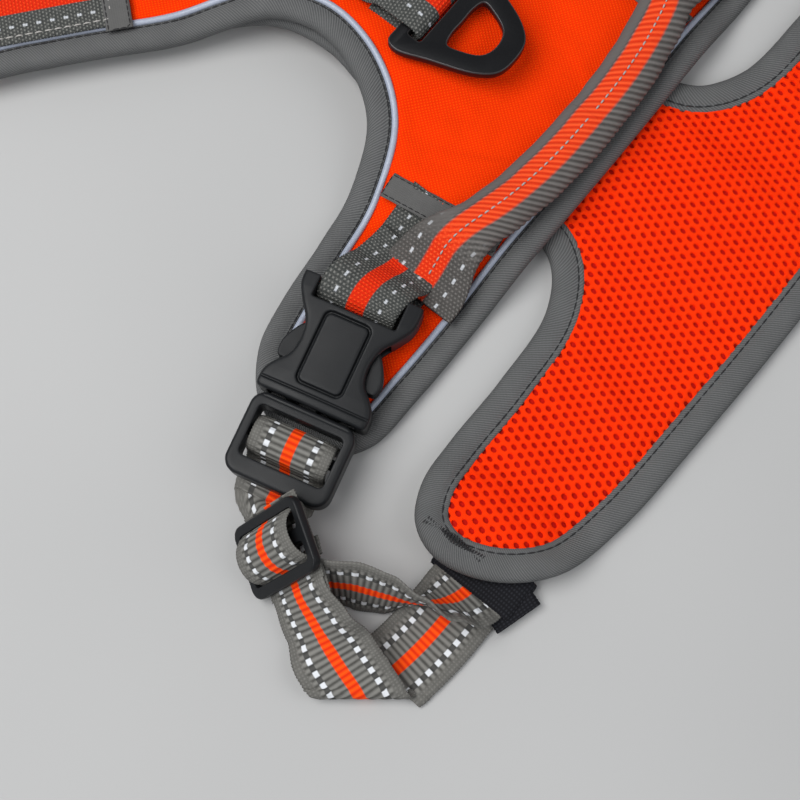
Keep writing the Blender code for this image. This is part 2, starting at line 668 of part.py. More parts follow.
def build_neck_straps(side, word):
    """The neck strap beyond the arm: slider, fold and the lower run back to the chest plate."""
    neck = Vector((NECK_DIRECTION[0], NECK_DIRECTION[1], 0))
    across = (neck.y, -neck.x, 0)
    lobe = Vector((NECK_LOBE[0], NECK_LOBE[1], 0))
    high = BACK_TOP + 0.6 + WEBBING_THICK / 2 + BACK_BASE
    middle = lobe + neck * NECK_SLIDER_OUT + Vector((0, 0, high + 2.3))
    yaw = math.degrees(math.atan2(neck.y, neck.x * -side))
    axis = empty("neck_slider_axis_" + word, harness, (middle.x * -side, middle.y, middle.z), (0, 0, yaw))
    build_slider("neck_slider_" + word, axis)
    slider_hump("neck_hump_" + word, axis)
    low = 2.6
    out = NECK_FOLD_OUT
    profile = [
        (NECK_SLIDER_OUT + 14.7, high), (out - 1, high - 1.2), (out + 3.6, high - 5.2),
        (out + 2.2, low + 1.4), (out - 4, low - 0.6), (out - 16, low - 1.2), (26, low - 1.2), (9, low),
    ]
    stations = [(tuple(lobe + neck * s + Vector((0, 0, z))), across) for s, z in profile]
    strap("neck_strap_" + word, flipped(stations, side), WEBBING, WEBBING_THICK, "webbing")


clear_scene()
parts = new_collection("no_pull_harness")
cutters = new_collection("cutters")
harness = bpy.data.objects.new("harness", None)
parts.objects.link(harness)
harness.location = (0, FOOTPRINT_SHIFT_Y * MM, 0)

build_panels()
leash_bar_z, chest_bar_z = build_sewn_webbing()
build_ring("leash_ring", "leash_ring_axis", BAR_Y, leash_bar_z, RING_THICK, "anodised")
build_ring("chest_ring", "chest_ring_axis", CHEST_BAR_Y, chest_bar_z, CHEST_RING_THICK, "anodised")
build_handle()
for which_side, side_word in ((-1, "left"), (1, "right")):
    release_axis = build_buckle(which_side, side_word)
    build_side_straps(which_side, side_word, release_axis)
    build_neck_straps(which_side, side_word)
bpy.context.view_layer.update()
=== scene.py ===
"""The looks of the no pull dog harness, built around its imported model.

Shapes are laid out in millimetres from the point on the table under the middle of the handle, as the design's
are: X is the dog's right, Y its front and Z up. to_frame() turns a laid out point into the frame's metres.
"""
import json
import math

import bmesh
import bpy
import numpy as np
from mathutils import Matrix, Vector, noise
from mathutils.geometry import delaunay_2d_cdt


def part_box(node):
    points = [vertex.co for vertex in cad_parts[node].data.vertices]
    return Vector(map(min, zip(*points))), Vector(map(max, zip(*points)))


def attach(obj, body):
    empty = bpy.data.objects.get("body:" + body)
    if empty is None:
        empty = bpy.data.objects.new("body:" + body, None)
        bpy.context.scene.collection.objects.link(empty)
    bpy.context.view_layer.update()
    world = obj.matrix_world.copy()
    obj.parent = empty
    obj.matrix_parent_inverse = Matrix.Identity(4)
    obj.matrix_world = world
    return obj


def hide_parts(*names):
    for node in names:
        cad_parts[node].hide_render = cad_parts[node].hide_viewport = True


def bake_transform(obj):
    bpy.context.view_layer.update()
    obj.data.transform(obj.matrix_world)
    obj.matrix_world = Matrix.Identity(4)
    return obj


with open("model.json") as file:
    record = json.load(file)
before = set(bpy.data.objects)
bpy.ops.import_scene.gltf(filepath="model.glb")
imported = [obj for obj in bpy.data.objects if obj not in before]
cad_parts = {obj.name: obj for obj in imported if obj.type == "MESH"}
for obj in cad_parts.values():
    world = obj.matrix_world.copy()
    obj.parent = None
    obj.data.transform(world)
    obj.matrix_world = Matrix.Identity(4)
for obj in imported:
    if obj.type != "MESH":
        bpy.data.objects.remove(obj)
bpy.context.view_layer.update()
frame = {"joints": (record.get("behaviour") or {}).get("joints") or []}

MM = 0.001
UPWARDS = Vector((0, 0, 1))
BAR_Y = 50.3
JOINTS = {joint["name"]: joint for joint in frame["joints"]}
SHIFT_Y = JOINTS["leash_ring_hinge"]["pos_m"][1] / MM - BAR_Y
SIDES = ((-1, "left"), (1, "right"))

# ------------------------------------------------------------- the design's sizes, in millimetres

BACK_HALF = [
    (0, 118), (-14, 124.5), (-30, 139), (-62, 165.5), (-80, 180.5), (-98, 186), (-113, 177), (-116.5, 163),
    (-108, 149.5), (-90, 135), (-74, 121.8), (-58, 107.8), (-42.1, 96.3), (-32, 87), (-27, 72.7),
    (-30.8, 55.5), (-39.5, 43.2), (-57, 35), (-76, 31.6), (-98, 28.7), (-113, 24.6), (-125, 14.5),
    (-128.8, 1), (-125.5, -12), (-115, -20.2), (-95, -21.8), (-60, -22), (0, -22.5),
]
CHEST_HALF = [
    (0, 112), (-24, 127), (-47, 148), (-68, 165), (-83, 169.5), (-94, 163), (-96.5, 151), (-89, 139),
    (-70, 124), (-52, 109), (-38.5, 97.5), (-30.2, 84.4), (-27.6, 68.1), (-30.5, 50.5), (-32.5, 20),
    (-33, -8), (-36.5, -25), (-50, -34.5), (-75.8, -37), (-99.2, -37), (-115, -38.8), (-125.5, -45),
    (-129.5, -56), (-124.5, -72), (-111, -85.5), (-89.2, -91.2), (-53.4, -93.6), (0, -95),
]
CHEST_TOP = 5.2
BACK_BASE = 6.1
BACK_TOP = 5.6
RING_LIFT = 6.2
LOBE_LIFT = 5.6
BACK_BINDING = 7.6
CHEST_BINDING = 9.6
WEBBING = 25.0
WEBBING_THICK = 1.4
STRAP_THICK = 1.2
HANDLE_WEBBING = 28.0
GRIP_WIDTH = 15.5
GRIP_HEIGHT = 9.0
BUCKLE_AT = (-84.0, 8.0, 8.6)
BUCKLE_YAW = 14.7
BUCKLE_PITCH = 3.0
SLIDER_AT = (-155.8, -19.6, 14.2)
SLIDER_YAW = 59.0
SLIDER_ROLL = 50.0
NECK_DIRECTION = Vector((-0.774, 0.633, 0.0))
NECK_LOBE = Vector((-95.0, 165.0, 0.0))
NECK_SLIDER_OUT = 40.0
NECK_FOLD_OUT = 64.0
KNOT_PITCH = 1.05
KNOT_SHIFT = 0.62
RIB_PITCH = 1.8
LEASH_RING_THICK = 3.0
CHEST_RING_THICK = 2.4
RING_PLAY = 0.8
ROPE_PITCH = 2.15
ROPE_SLANT = 0.81
FLECK = (0.55, 0.57, 0.60)
FAR_BACK = 1000.0  # keeps a distance along webbing positive, for a node's modulo


# ------------------------------------------------------------- small helpers

def to_frame(point):
    """A laid out point in the frame's metres."""
    return (point[0] * MM, (point[1] + SHIFT_Y) * MM, point[2] * MM)


def smooth_step(low, high, value):
    """0 below low, 1 above high, and a smooth change between."""
    t = min(max((value - low) / (high - low), 0.0), 1.0)
    return t * t * (3.0 - 2.0 * t)


def plate_rise(x, y):
    """How far the chest plate is lifted off the table by the ring and the keepers under it."""
    ring = RING_LIFT * (1 - smooth_step(27, 62, math.hypot(x, y - 76)))
    lobe = LOBE_LIFT * smooth_step(94, 116, abs(x)) * (1 - smooth_step(-45, -25, y))
    return ring + lobe


def panel_rise(x, y):
    """The back panel lies over the chest plate and drops to the table beside it."""
    beside = smooth_step(41, 68, abs(x)) * (1 - smooth_step(66, 92, y))
    ring = RING_LIFT * (1 - smooth_step(27, 62, math.hypot(x, y - 76)))
    return BACK_BASE * (1 - beside) + ring


def spline_point(p0, p1, p2, p3, t):
    """A point between p1 and p2 on a centripetal Catmull-Rom spline."""
    knots = [0.0]
    for a, b in ((p0, p1), (p1, p2), (p2, p3)):
        knots.append(knots[-1] + max((b - a).length, 1e-6) ** 0.5)
    k0, k1, k2, k3 = knots
    u = k1 + (k2 - k1) * t
    a1 = p0 * ((k1 - u) / (k1 - k0)) + p1 * ((u - k0) / (k1 - k0))
    a2 = p1 * ((k2 - u) / (k2 - k1)) + p2 * ((u - k1) / (k2 - k1))
    a3 = p2 * ((k3 - u) / (k3 - k2)) + p3 * ((u - k2) / (k3 - k2))
    b1 = a1 * ((k2 - u) / (k2 - k0)) + a2 * ((u - k0) / (k2 - k0))
    b2 = a2 * ((k3 - u) / (k3 - k1)) + a3 * ((u - k1) / (k3 - k1))
    return b1 * ((k2 - u) / (k2 - k1)) + b2 * ((u - k1) / (k2 - k1))


def mirrored(half):
    """A half outline followed by its mirror image across the Y axis."""
    return list(half) + [(-x, y) for x, y in reversed(half) if x]


def even_loop(half, spacing):
    """The whole smooth outline of a mirrored half, as evenly spaced points, counter-clockwise."""
    loop = [Vector(p) for p in mirrored(half)]
    count = len(loop)
    dense = []
    for i in range(count):
        around = [loop[(i + k) % count] for k in (-1, 0, 1, 2)]
        dense += [spline_point(*around, s / 16) for s in range(16)]
    points = np.array([p[:2] for p in dense + dense[:1]])
    lengths = np.concatenate([[0], np.cumsum(np.linalg.norm(np.diff(points, axis=0), axis=1))])
    steps = int(lengths[-1] / spacing)
    wanted = np.arange(steps) * lengths[-1] / steps
    return np.stack([np.interp(wanted, lengths, points[:, k]) for k in (0, 1)], axis=1)


def inward(loop):
    """Unit directions that point into a counter-clockwise loop."""
    along = np.roll(loop, -1, axis=0) - np.roll(loop, 1, axis=0)
    along /= np.linalg.norm(along, axis=1)[:, None]
    return np.stack([-along[:, 1], along[:, 0]], axis=1)


def inset(loop, distance):
    """The loop moved inwards."""
    return loop + inward(loop) * distance


def add_mesh(name, points, faces, material, weave=None, thickness=0.0):
    """A smooth shaded object from laid out points. weave holds (across, along) of the cloth at each point."""
    mesh = bpy.data.meshes.new(name)
    mesh.from_pydata([to_frame(p) for p in points], [], faces)
    if weave is not None:
        values = np.zeros((len(points), 3), np.float32)
        values[:, :2] = weave
        mesh.attributes.new("weave", "FLOAT_VECTOR", "POINT").data.foreach_set("vector", values.ravel())
    bm = bmesh.new()
    bm.from_mesh(mesh)
    if all(edge.is_manifold for edge in bm.edges):
        bmesh.ops.recalc_face_normals(bm, faces=bm.faces)
    bm.to_mesh(mesh)
    bm.free()
    mesh.shade_smooth()
    mesh.materials.append(material)
    obj = bpy.data.objects.new(name, mesh)
    bpy.context.scene.collection.objects.link(obj)
    if thickness:
        solid = obj.modifiers.new("thickness", "SOLIDIFY")
        solid.thickness = thickness * MM
        solid.offset = -1.0
    return obj


def ring_quads(base, rings, size):
    """Quads between rings of points, each ring joined to the next."""
    faces = []
    for first in range(base, base + (rings - 1) * size, size):
        for k in range(size):
            n = (k + 1) % size
            faces.append((first + k, first + n, first + size + n, first + size + k))
    return faces


def settle(obj, body, slot, *nodes):
    """Ride and replaced nodes of a finished piece. The slot is not used."""
    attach(obj, body)
    if nodes:
        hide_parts(*nodes)
    return obj


# ------------------------------------------------------------- materials

def add_node(tree, kind, inputs=(), **settings):
    """A node whose inputs are numbers, vectors or other nodes' values."""
    node = tree.nodes.new(kind)
    for key, value in settings.items():
        setattr(node, key, value)
    for key, value in dict(inputs).items():
        if isinstance(value, Value):
            tree.links.new(value.socket, node.inputs[key])
        else:
            node.inputs[key].default_value = value
    return node


class Value:
    """A node's output. Arithmetic on it adds a math node to its tree."""

    def __init__(self, tree, socket):
        self.tree = tree
        self.socket = socket

    def math(self, operation, *others):
        """One math node's result, with this value as its first input."""
        inputs = dict(enumerate((self, *others)))
        return Value(self.tree, add_node(self.tree, "ShaderNodeMath", inputs, operation=operation).outputs[0])

    def __add__(self, other):
        return self.math("ADD", other)

    def __sub__(self, other):
        return self.math("SUBTRACT", other)

    def __rsub__(self, other):
        return self.math("MULTIPLY_ADD", -1.0, other)

    def __mul__(self, other):
        return self.math("MULTIPLY", other)

    def __truediv__(self, other):
        return self.math("DIVIDE", other)

    def __mod__(self, other):
        return self.math("MODULO", other)

    def __pow__(self, other):
        return self.math("POWER", other)

    def __abs__(self):
        return self.math("ABSOLUTE")

    def wave(self, pitch, phase=0.0):
        """A sine of the value, 0 to 1, with this pitch."""
        sine = self.math("MULTIPLY_ADD", 2 * math.pi / pitch, phase).math("SINE")
        return sine.math("MULTIPLY_ADD", 0.5, 0.5)

    def ramp(self, low, high, first=0.0, final=1.0):
        """A straight change from first to final as the value goes from low to high."""
        inputs = {0: self, 1: low, 2: high, 3: first, 4: final}
        return Value(self.tree, add_node(self.tree, "ShaderNodeMapRange", inputs).outputs[0])

    def band(self, middle, half_width, soft=0.15):
        """1 within half_width of the middle, 0 outside."""
        return abs(self - middle).ramp(half_width - soft, half_width + soft, 1.0, 0.0)


class Cloth:
    """A material whose colour and bump come from a small network of nodes."""

    def __init__(self, name, roughness, metallic=0.0, shine=0.2, turn=0.0):
        self.material = bpy.data.materials.new(name)
        self.material.use_nodes = True
        self.tree = self.material.node_tree
        self.shader = self.tree.nodes["Principled BSDF"]
        for key, value in (("Roughness", roughness), ("Metallic", metallic), ("Specular IOR Level", shine)):
            self.shader.inputs[key].default_value = value
        self.turn = (0, 0, math.radians(turn))

    def put(self, kind, inputs=(), output=0, **settings):
        """A node's output."""
        return Value(self.tree, add_node(self.tree, kind, inputs, **settings).outputs[output])

    def sides(self, vector):
        """A vector's first two numbers."""
        split = add_node(self.tree, "ShaderNodeSeparateXYZ", {0: vector})
        return Value(self.tree, split.outputs[0]), Value(self.tree, split.outputs[1])

    def weave(self):
        """The cloth's own coordinates, across and along, in millimetres."""
        return self.sides(self.put("ShaderNodeAttribute", (), "Vector", attribute_name="weave"))

    def place(self):
        """Object coordinates in millimetres, turned about Z by the cloth's turn."""
        coordinates = self.put("ShaderNodeTexCoord", (), "Object")
        inputs = {0: coordinates, "Scale": (1 / MM,) * 3, "Rotation": self.turn}
        return self.put("ShaderNodeMapping", inputs)

    def noise(self, scale, detail=2.0):
        """Fractal noise over the object, 0 to 1."""
        return self.put("ShaderNodeTexNoise", {"Vector": self.place(), "Scale": scale, "Detail": detail})

    def between(self, factor, a, b):
        """A mix of two numbers."""
        return self.put("ShaderNodeMix", {0: factor, 2: a, 3: b}, data_type="FLOAT")

    def mix(self, factor, a, b):
        """A mix of two colours."""
        a, b = [c if isinstance(c, Value) else (*c, 1.0) for c in (a, b)]
        return self.put("ShaderNodeMix", {0: factor, 6: a, 7: b}, 2, data_type="RGBA")

    def finish(self, colour, height=None, depth=0.2, roughness=None):
        """Connect the colour, a bump of this depth in millimetres, and the roughness."""
        self.tree.links.new(colour.socket, self.shader.inputs["Base Color"])
        if height is not None:
            bump = self.put("ShaderNodeBump", {"Height": height, "Distance": depth * MM, "Strength": 1.0})
            self.tree.links.new(bump.socket, self.shader.inputs["Normal"])
        if roughness is not None:
            self.tree.links.new(roughness.socket, self.shader.inputs["Roughness"])
        return self.material


def coarse_knots(across, along):
    """The knots of coarse webbing, each row shifted from the last."""
    row = (along / KNOT_PITCH).math("FLOOR")
    return (across + row * KNOT_SHIFT).wave(2 * KNOT_SHIFT) * along.wave(KNOT_PITCH)


def oxford_material():
    """Fluorescent orange oxford: a fine plain weave of paired yarns."""
    cloth = Cloth("orange_oxford", 0.9, shine=0.06, turn=38)
    x, y = cloth.sides(cloth.place())
    checks = x.wave(0.95) * y.wave(0.8)
    colour = cloth.mix(checks + cloth.noise(0.05) * 0.25, (0.78, 0.020, 0.0), (1.0, 0.070, 0.001))
    return cloth.finish(colour, checks, 0.16)


def mesh_material():
    """Orange knitted air mesh between its holes."""
    cloth = Cloth("orange_air_mesh", 0.85, shine=0.08, turn=12)
    x, y = cloth.sides(cloth.place())
    knit = x.wave(0.55) * y.wave(0.5)
    colour = cloth.mix(knit + cloth.noise(0.4) * 0.4, (0.90, 0.020, 0.0), (1.0, 0.052, 0.001))
    return cloth.finish(colour, knit, 0.1)


def hole_shade_backing_material():
    """The face that shows through the mesh holes, coloured dark red as painted shade in the holes."""
    cloth = Cloth("mesh_backing_painted_shade", 0.9)
    # Painted shade: a dark red for the shade deep in the holes.
    return cloth.finish(cloth.mix(cloth.noise(0.9), (0.30, 0.002, 0.0), (0.50, 0.006, 0.0)))


def binding_material():
    """Grey twill tape with diagonal ribs."""
    cloth = Cloth("grey_twill", 0.9)
    across, along = cloth.weave()
    height = (across + along * 1.5).wave(1.25) + (across - along * 0.7).wave(0.5) * 0.35
    shade = height * 0.62 + cloth.noise(0.12) * 0.3
    return cloth.finish(cloth.mix(shade, (0.058, 0.059, 0.060), (0.158, 0.160, 0.160)), height, 0.14)


def piping_material():
    """Pale reflective cord, a little glossy."""
    cloth = Cloth("reflective_piping", 0.38, shine=0.5)
    grain = cloth.noise(1.4, 4.0)
    return cloth.finish(cloth.mix(grain, (0.27, 0.30, 0.38), (0.42, 0.46, 0.55)), grain, 0.05)


def ribbon_material():
    """Smooth dark grey ribbon with a fine cross rib."""
    cloth = Cloth("grey_ribbon", 0.85)
    across, along = cloth.weave()
    ribs = along.wave(0.5) * across.wave(0.7)
    shade = ribs * 0.4 + cloth.noise(0.3) * 0.5
    return cloth.finish(cloth.mix(shade, (0.088, 0.087, 0.085), (0.135, 0.133, 0.13)), ribs, 0.05)


def coarse_material():
    """Coarse grey webbing with an orange stripe down its middle and white flecks beside it."""
    cloth = Cloth("grey_webbing", 0.9)
    across, along = cloth.weave()
    knots = coarse_knots(across, along)
    lit = knots * 1.1 + (cloth.noise(1.1, 3.0) - 0.5) * 0.9
    grey = cloth.mix(lit, (0.045, 0.048, 0.046), (0.21, 0.21, 0.195))
    orange = cloth.mix(knots, (0.65, 0.015, 0.0), (1.0, 0.07, 0.008))
    colour = cloth.mix(across.band(0.0, 2.8), grey, orange)
    flecks = abs(across).band(7.2, 0.45) * ((along + FAR_BACK) % 4.2).band(1.4, 0.75)
    return cloth.finish(cloth.mix(flecks, colour, FLECK), knots + flecks, 0.35)


def strap_material():
    """The adjusting strap: cross ribs, a narrow orange stripe and two rows of white dots."""
    cloth = Cloth("strap_webbing", 0.85)
    across, along = cloth.weave()
    off = abs(across)
    ribs = along.wave(RIB_PITCH, math.pi / 2)
    selvedge = off.ramp(8.6, 9.4)
    loops = along.wave(0.9) * across.wave(1.05)
    body = ribs + along.wave(0.3) * 0.12
    height = cloth.between(selvedge, body, loops)
    tone = cloth.between(selvedge, body ** 0.8, loops * 0.35 + 0.45)
    shade = tone + (cloth.noise(0.7, 3.0) - 0.5) * 0.4
    grey = cloth.mix(shade, (0.055, 0.053, 0.048), (0.205, 0.20, 0.185))
    orange = cloth.mix(ribs, (0.70, 0.025, 0.0), (1.0, 0.085, 0.002))
    colour = cloth.mix(across.band(0.0, 1.65), grey, orange)
    dots = off.band(6.8, 0.8) * ((along + FAR_BACK) % (2 * RIB_PITCH)).band(0.9, 0.82)
    gaps = off.band(6.8, 0.85) - dots
    colour = cloth.mix(gaps * 0.75, colour, (0.03, 0.03, 0.03))
    return cloth.finish(cloth.mix(dots, colour, (0.70, 0.72, 0.75)), height, 0.12)


def handle_material():
    """Webbing rolled into a grip: slanted ribs, a wide orange stripe, and flat coarse ends."""
    cloth = Cloth("handle_webbing", 0.88)
    across, along = cloth.weave()
    far = abs(along)
    flat = far.ramp(50.0, 59.0)
    rope = (across * ROPE_SLANT - along).wave(ROPE_PITCH) + (along - across * 2.2).wave(0.45) * 0.2
    height = cloth.between(flat, rope, coarse_knots(across, far))
    plain_side = across.band(-9.2, 5.0, 0.2) * (1.0 - flat)
    height = height * (1.0 - plain_side * 0.85)
    shade = height * 0.75 + cloth.noise(0.5, 3.0) * 0.3
    grey = cloth.mix(shade, (0.045, 0.043, 0.040), (0.19, 0.178, 0.168))
    grey = cloth.mix(plain_side, grey, (0.125, 0.115, 0.11))
    orange = cloth.mix(height, (0.66, 0.022, 0.001), (1.0, 0.10, 0.022))
    colour = cloth.mix(across.band(0.0, 3.6, 0.35), grey, orange)
    flecks = abs(across).band(7.8, 0.4) * ((far + 1.2) % 4.2).band(1.4, 0.7) * flat
    colour = cloth.mix(flecks, colour, FLECK)
    # A paler, warmer grey patch over one corner of each flat end.
    end_corner_patch = across.band(-12.0, 4.2, 0.5) * far.band(72.2, 4.2, 0.6)
    return cloth.finish(cloth.mix(end_corner_patch, colour, (0.16, 0.13, 0.125)), height, 0.25)


def black_webbing_material():
    """Plain black webbing with a fine rib."""
    cloth = Cloth("black_webbing", 0.85)
    across, along = cloth.weave()
    ribs = along.wave(0.9) * across.wave(1.2)
    return cloth.finish(cloth.mix(ribs, (0.005, 0.005, 0.007), (0.022, 0.023, 0.028)), ribs, 0.12)


def plastic_material():
    """Satin moulded acetal with a fine spark grain."""
    cloth = Cloth("black_plastic", 0.4, shine=0.22)
    drift = cloth.noise(0.08)
    colour = cloth.mix(drift, (0.006, 0.0066, 0.0075), (0.011, 0.012, 0.0135))
    return cloth.finish(colour, cloth.noise(3.0, 3.0), 0.02, drift.ramp(0.3, 0.7, 0.36, 0.5))


def metal_material():
    """Black anodised ring with a satin face."""
    cloth = Cloth("black_metal", 0.36, metallic=0.35)
    grain = cloth.noise(2.5, 4.0)
    return cloth.finish(cloth.mix(grain, (0.006, 0.006, 0.007), (0.014, 0.0145, 0.016)), grain, 0.012)


def plain(name, colour, roughness, metallic=0.0, grain=0.6):
    """A thread, paper or ring edge colour with a little grain in it; the ring edge colour is a painted
    highlight.
    """
    cloth = Cloth(name, roughness, metallic)
    drift = cloth.noise(grain)
    darker = tuple(c * 0.72 for c in colour)
    return cloth.finish(cloth.mix(drift, darker, colour), drift, 0.03)


LOOK = {
    "oxford": oxford_material(),
    "mesh": mesh_material(),
    "backing": hole_shade_backing_material(),
    "binding": binding_material(),
    "piping": piping_material(),
    "ribbon": ribbon_material(),
    "webbing": coarse_material(),
    "strap": strap_material(),
    "handle": handle_material(),
    "black_webbing": black_webbing_material(),
    "plastic": plastic_material(),
    "metal": metal_material(),
    # The rings' bevels, lighter than the black metal: a painted highlight.
    "metal_edge_painted_highlight": plain("ring_edge_painted_highlight", (0.06, 0.056, 0.058), 0.34, 0.5),
    "dark_thread": plain("dark_thread", (0.028, 0.028, 0.03), 0.7),
    "pale_thread": plain("pale_thread", (0.46, 0.44, 0.42), 0.7),
    "tan_thread": plain("tan_thread", (0.55, 0.16, 0.06), 0.7),
}


# ------------------------------------------------------------- panels

def sweep_loop(name, loop, profile, rise, material, shape=None):
    """A closed tube that follows a loop: profile points are (inwards, up), in order round the section."""
    count = len(loop)
    sides = inward(loop)
    steps = np.linalg.norm(np.roll(loop, -1, axis=0) - loop, axis=1)
    along = np.concatenate([[0], np.cumsum(steps)[:-1]])
    section = np.array(profile, float)
    around = np.concatenate([[0], np.cumsum(np.linalg.norm(np.diff(section, axis=0), axis=1))])
    points, weave, faces = [], [], []
    for i in range(count):
        for k, (d, z) in enumerate(section):
            x, y = loop[i] + sides[i] * d
            lift = shape(x, y, z) if shape else 0.0
            points.append((x, y, z + lift + rise(x, y)))
            weave.append((around[k], along[i]))
    size = len(section)
    for i in range(count):
        j = (i + 1) % count
        for k in range(size):
            n = (k + 1) % size
            faces.append((i * size + k, j * size + k, j * size + n, i * size + n))
    return add_mesh(name, points, faces, material, weave)


def filled_sheet(loop, spacing, height):
    """Points and triangles that fill a loop evenly, with height(x, y, distance from the edge)."""
    low, high = loop.min(axis=0), loop.max(axis=0)
    rows = []
    for j, y in enumerate(np.arange(low[1], high[1], spacing * 0.87)):
        shift = spacing / 2 * (j % 2)
        for x in np.arange(low[0] + shift, high[0], spacing):
            rows.append((x, y))
    inner = np.array(rows)
    ring = [Vector(p) for p in loop]
    near = np.array([np.min(np.hypot(*(loop - p).T)) for p in inner])
    inner = inner[near > spacing * 0.6]
    edges = [(i, (i + 1) % len(ring)) for i in range(len(ring))]
    verts, _, faces, *_ = delaunay_2d_cdt(ring + [Vector(p) for p in inner], edges, [], 1, 1e-4)
    flat = np.array([v[:2] for v in verts])
    distance = np.array([np.min(np.hypot(*(loop - p).T)) for p in flat])
    points = np.array([(x, y, height(x, y, d)) for (x, y), d in zip(flat, distance)])
    return points, [tuple(f) for f in faces], distance


def puffed(points, faces, pinned, push, growth, cap):
    """The points after a cloth simulation, in which an oversized sheet held at its seams puckers."""
    mesh = bpy.data.meshes.new("cloth_work")
    mesh.from_pydata([Vector(p) * MM for p in points], [], faces)
    obj = bpy.data.objects.new("cloth_work", mesh)
    bpy.context.scene.collection.objects.link(obj)
    group = obj.vertex_groups.new(name="pin")
    for index, weight in enumerate(pinned):
        if weight > 0:
            group.add([index], float(weight), "REPLACE")
    modifier = obj.modifiers.new("cloth", "CLOTH")
    settings = modifier.settings
    settings.quality = 6
    settings.mass = 0.3
    settings.tension_stiffness = 20
    settings.compression_stiffness = 20
    settings.shear_stiffness = 8
    settings.bending_stiffness = 0.4
    settings.vertex_group_mass = "pin"
    settings.pin_stiffness = 8.0
    settings.use_pressure = True
    settings.uniform_pressure_force = push
    settings.shrink_min = -growth
    settings.effector_weights.gravity = 0.0
    modifier.collision_settings.use_collision = False
    modifier.collision_settings.use_self_collision = False
    scene = bpy.context.scene
    for number in range(1, 19):
        scene.frame_set(number)
    swollen = obj.evaluated_get(bpy.context.evaluated_depsgraph_get())
    moved = np.array([v.co for v in swollen.data.vertices]) / MM
    scene.frame_set(1)
    bpy.data.objects.remove(obj, do_unlink=True)
    shift = moved - points
    length = np.linalg.norm(shift, axis=1)
    scale = np.where(length > 1e-9, cap * np.tanh(length / cap) / np.maximum(length, 1e-9), 0.0)
    return points + shift * scale[:, None]


def swell(x, y, size, seed):
    """Smooth noise, -1 to 1, with bumps of this size."""
    return noise.noise(Vector((x / size, y / size, seed)))


def wrinkled_edge(x, y, z):
    """Small uneven swells along a binding."""
    return (swell(x, y, 7, 3.0) * 0.28 + swell(x, y, 2.6, 9.0) * 0.1) * smooth_step(0.5, 3.0, z)


def binding_profile(width, top, crease):
    """The section of a tape folded over the edge, with its stitch line pressed in near its inner edge."""
    under = [(width, 0.35), (width * 0.7, 0.05), (width * 0.35, 0.0), (1.6, 0.15), (0.6, 0.8)]
    side = [(0.1, 1.9), (0.0, top * 0.5), (0.12, top * 0.72), (0.7, top - 0.55), (1.7, top + 0.15)]
    over = [(width * 0.38, top + 0.45), (width * 0.62, top + 0.4), (width - crease - 1.0, top + 0.1),
            (width - crease, top - 0.45), (width - crease + 0.5, top - 0.2), (width - 0.25, top - 0.35),
            (width, top - 0.8), (width, top - 1.5)]
    return under + side + over


def stitch_run(name, route, pitch, length, radius, look, up=UPWARDS):
    """A line of stitches: small rounded threads lying along a route."""
    route = np.array(route, float)
    steps = np.linalg.norm(np.diff(route, axis=0), axis=1)
    lengths = np.concatenate([[0], np.cumsum(steps)])
    count = int(lengths[-1] / pitch)
    points, faces = [], []
    for i in range(count):
        middle = (i + 0.5) * pitch
        ends = [np.array([np.interp(middle + s * length / 2, lengths, route[:, k]) for k in range(3)])
                for s in (-1, 1)]
        add_thread(points, faces, Vector(ends[0]), Vector(ends[1]), up, radius)
    return add_mesh(name, points, faces, LOOK[look])


def add_thread(points, faces, start, end, up, radius):
    """One stitch between two points, thick in its middle and sunk at its ends."""
    along = (end - start).normalized()
    side = along.cross(up).normalized()
    up = side.cross(along)
    base = len(points)
    rings = 5
    sides = 6
    for r in range(rings):
        t = r / (rings - 1)
        thick = radius * (0.35 + 0.65 * math.sin(math.pi * (0.12 + 0.76 * t)))
        centre = start.lerp(end, t) + up * (radius * (1.1 * math.sin(math.pi * t) - 0.55))
        for k in range(sides):
            angle = 2 * math.pi * k / sides
            points.append(centre + side * (thick * math.cos(angle)) + up * (thick * math.sin(angle)))
    faces += ring_quads(base, rings, sides)
    faces.append(tuple(base + k for k in reversed(range(sides))))
    faces.append(tuple(base + (rings - 1) * sides + k for k in range(sides)))


def stitch_loop(name, loop, distance, height, rise, pitch, length, radius, look):
    """Stitches round a loop at a distance inside it."""
    path = inset(loop, distance)
    route = [(x, y, height + rise(x, y)) for x, y in path]
    route.append(route[0])
    return stitch_run(name, route, pitch, length, radius, look)


def back_height(x, y, d):
    """The back cover's top: pulled down at the piping and full inside."""
    pull = math.exp(-d / 3.2)
    soft = swell(x, y, 22, 1.0) * 0.35 + swell(x, y, 9, 4.0) * 0.14
    return panel_rise(x, y) + BACK_TOP + 0.15 - 0.75 * pull + soft * (1 - pull)


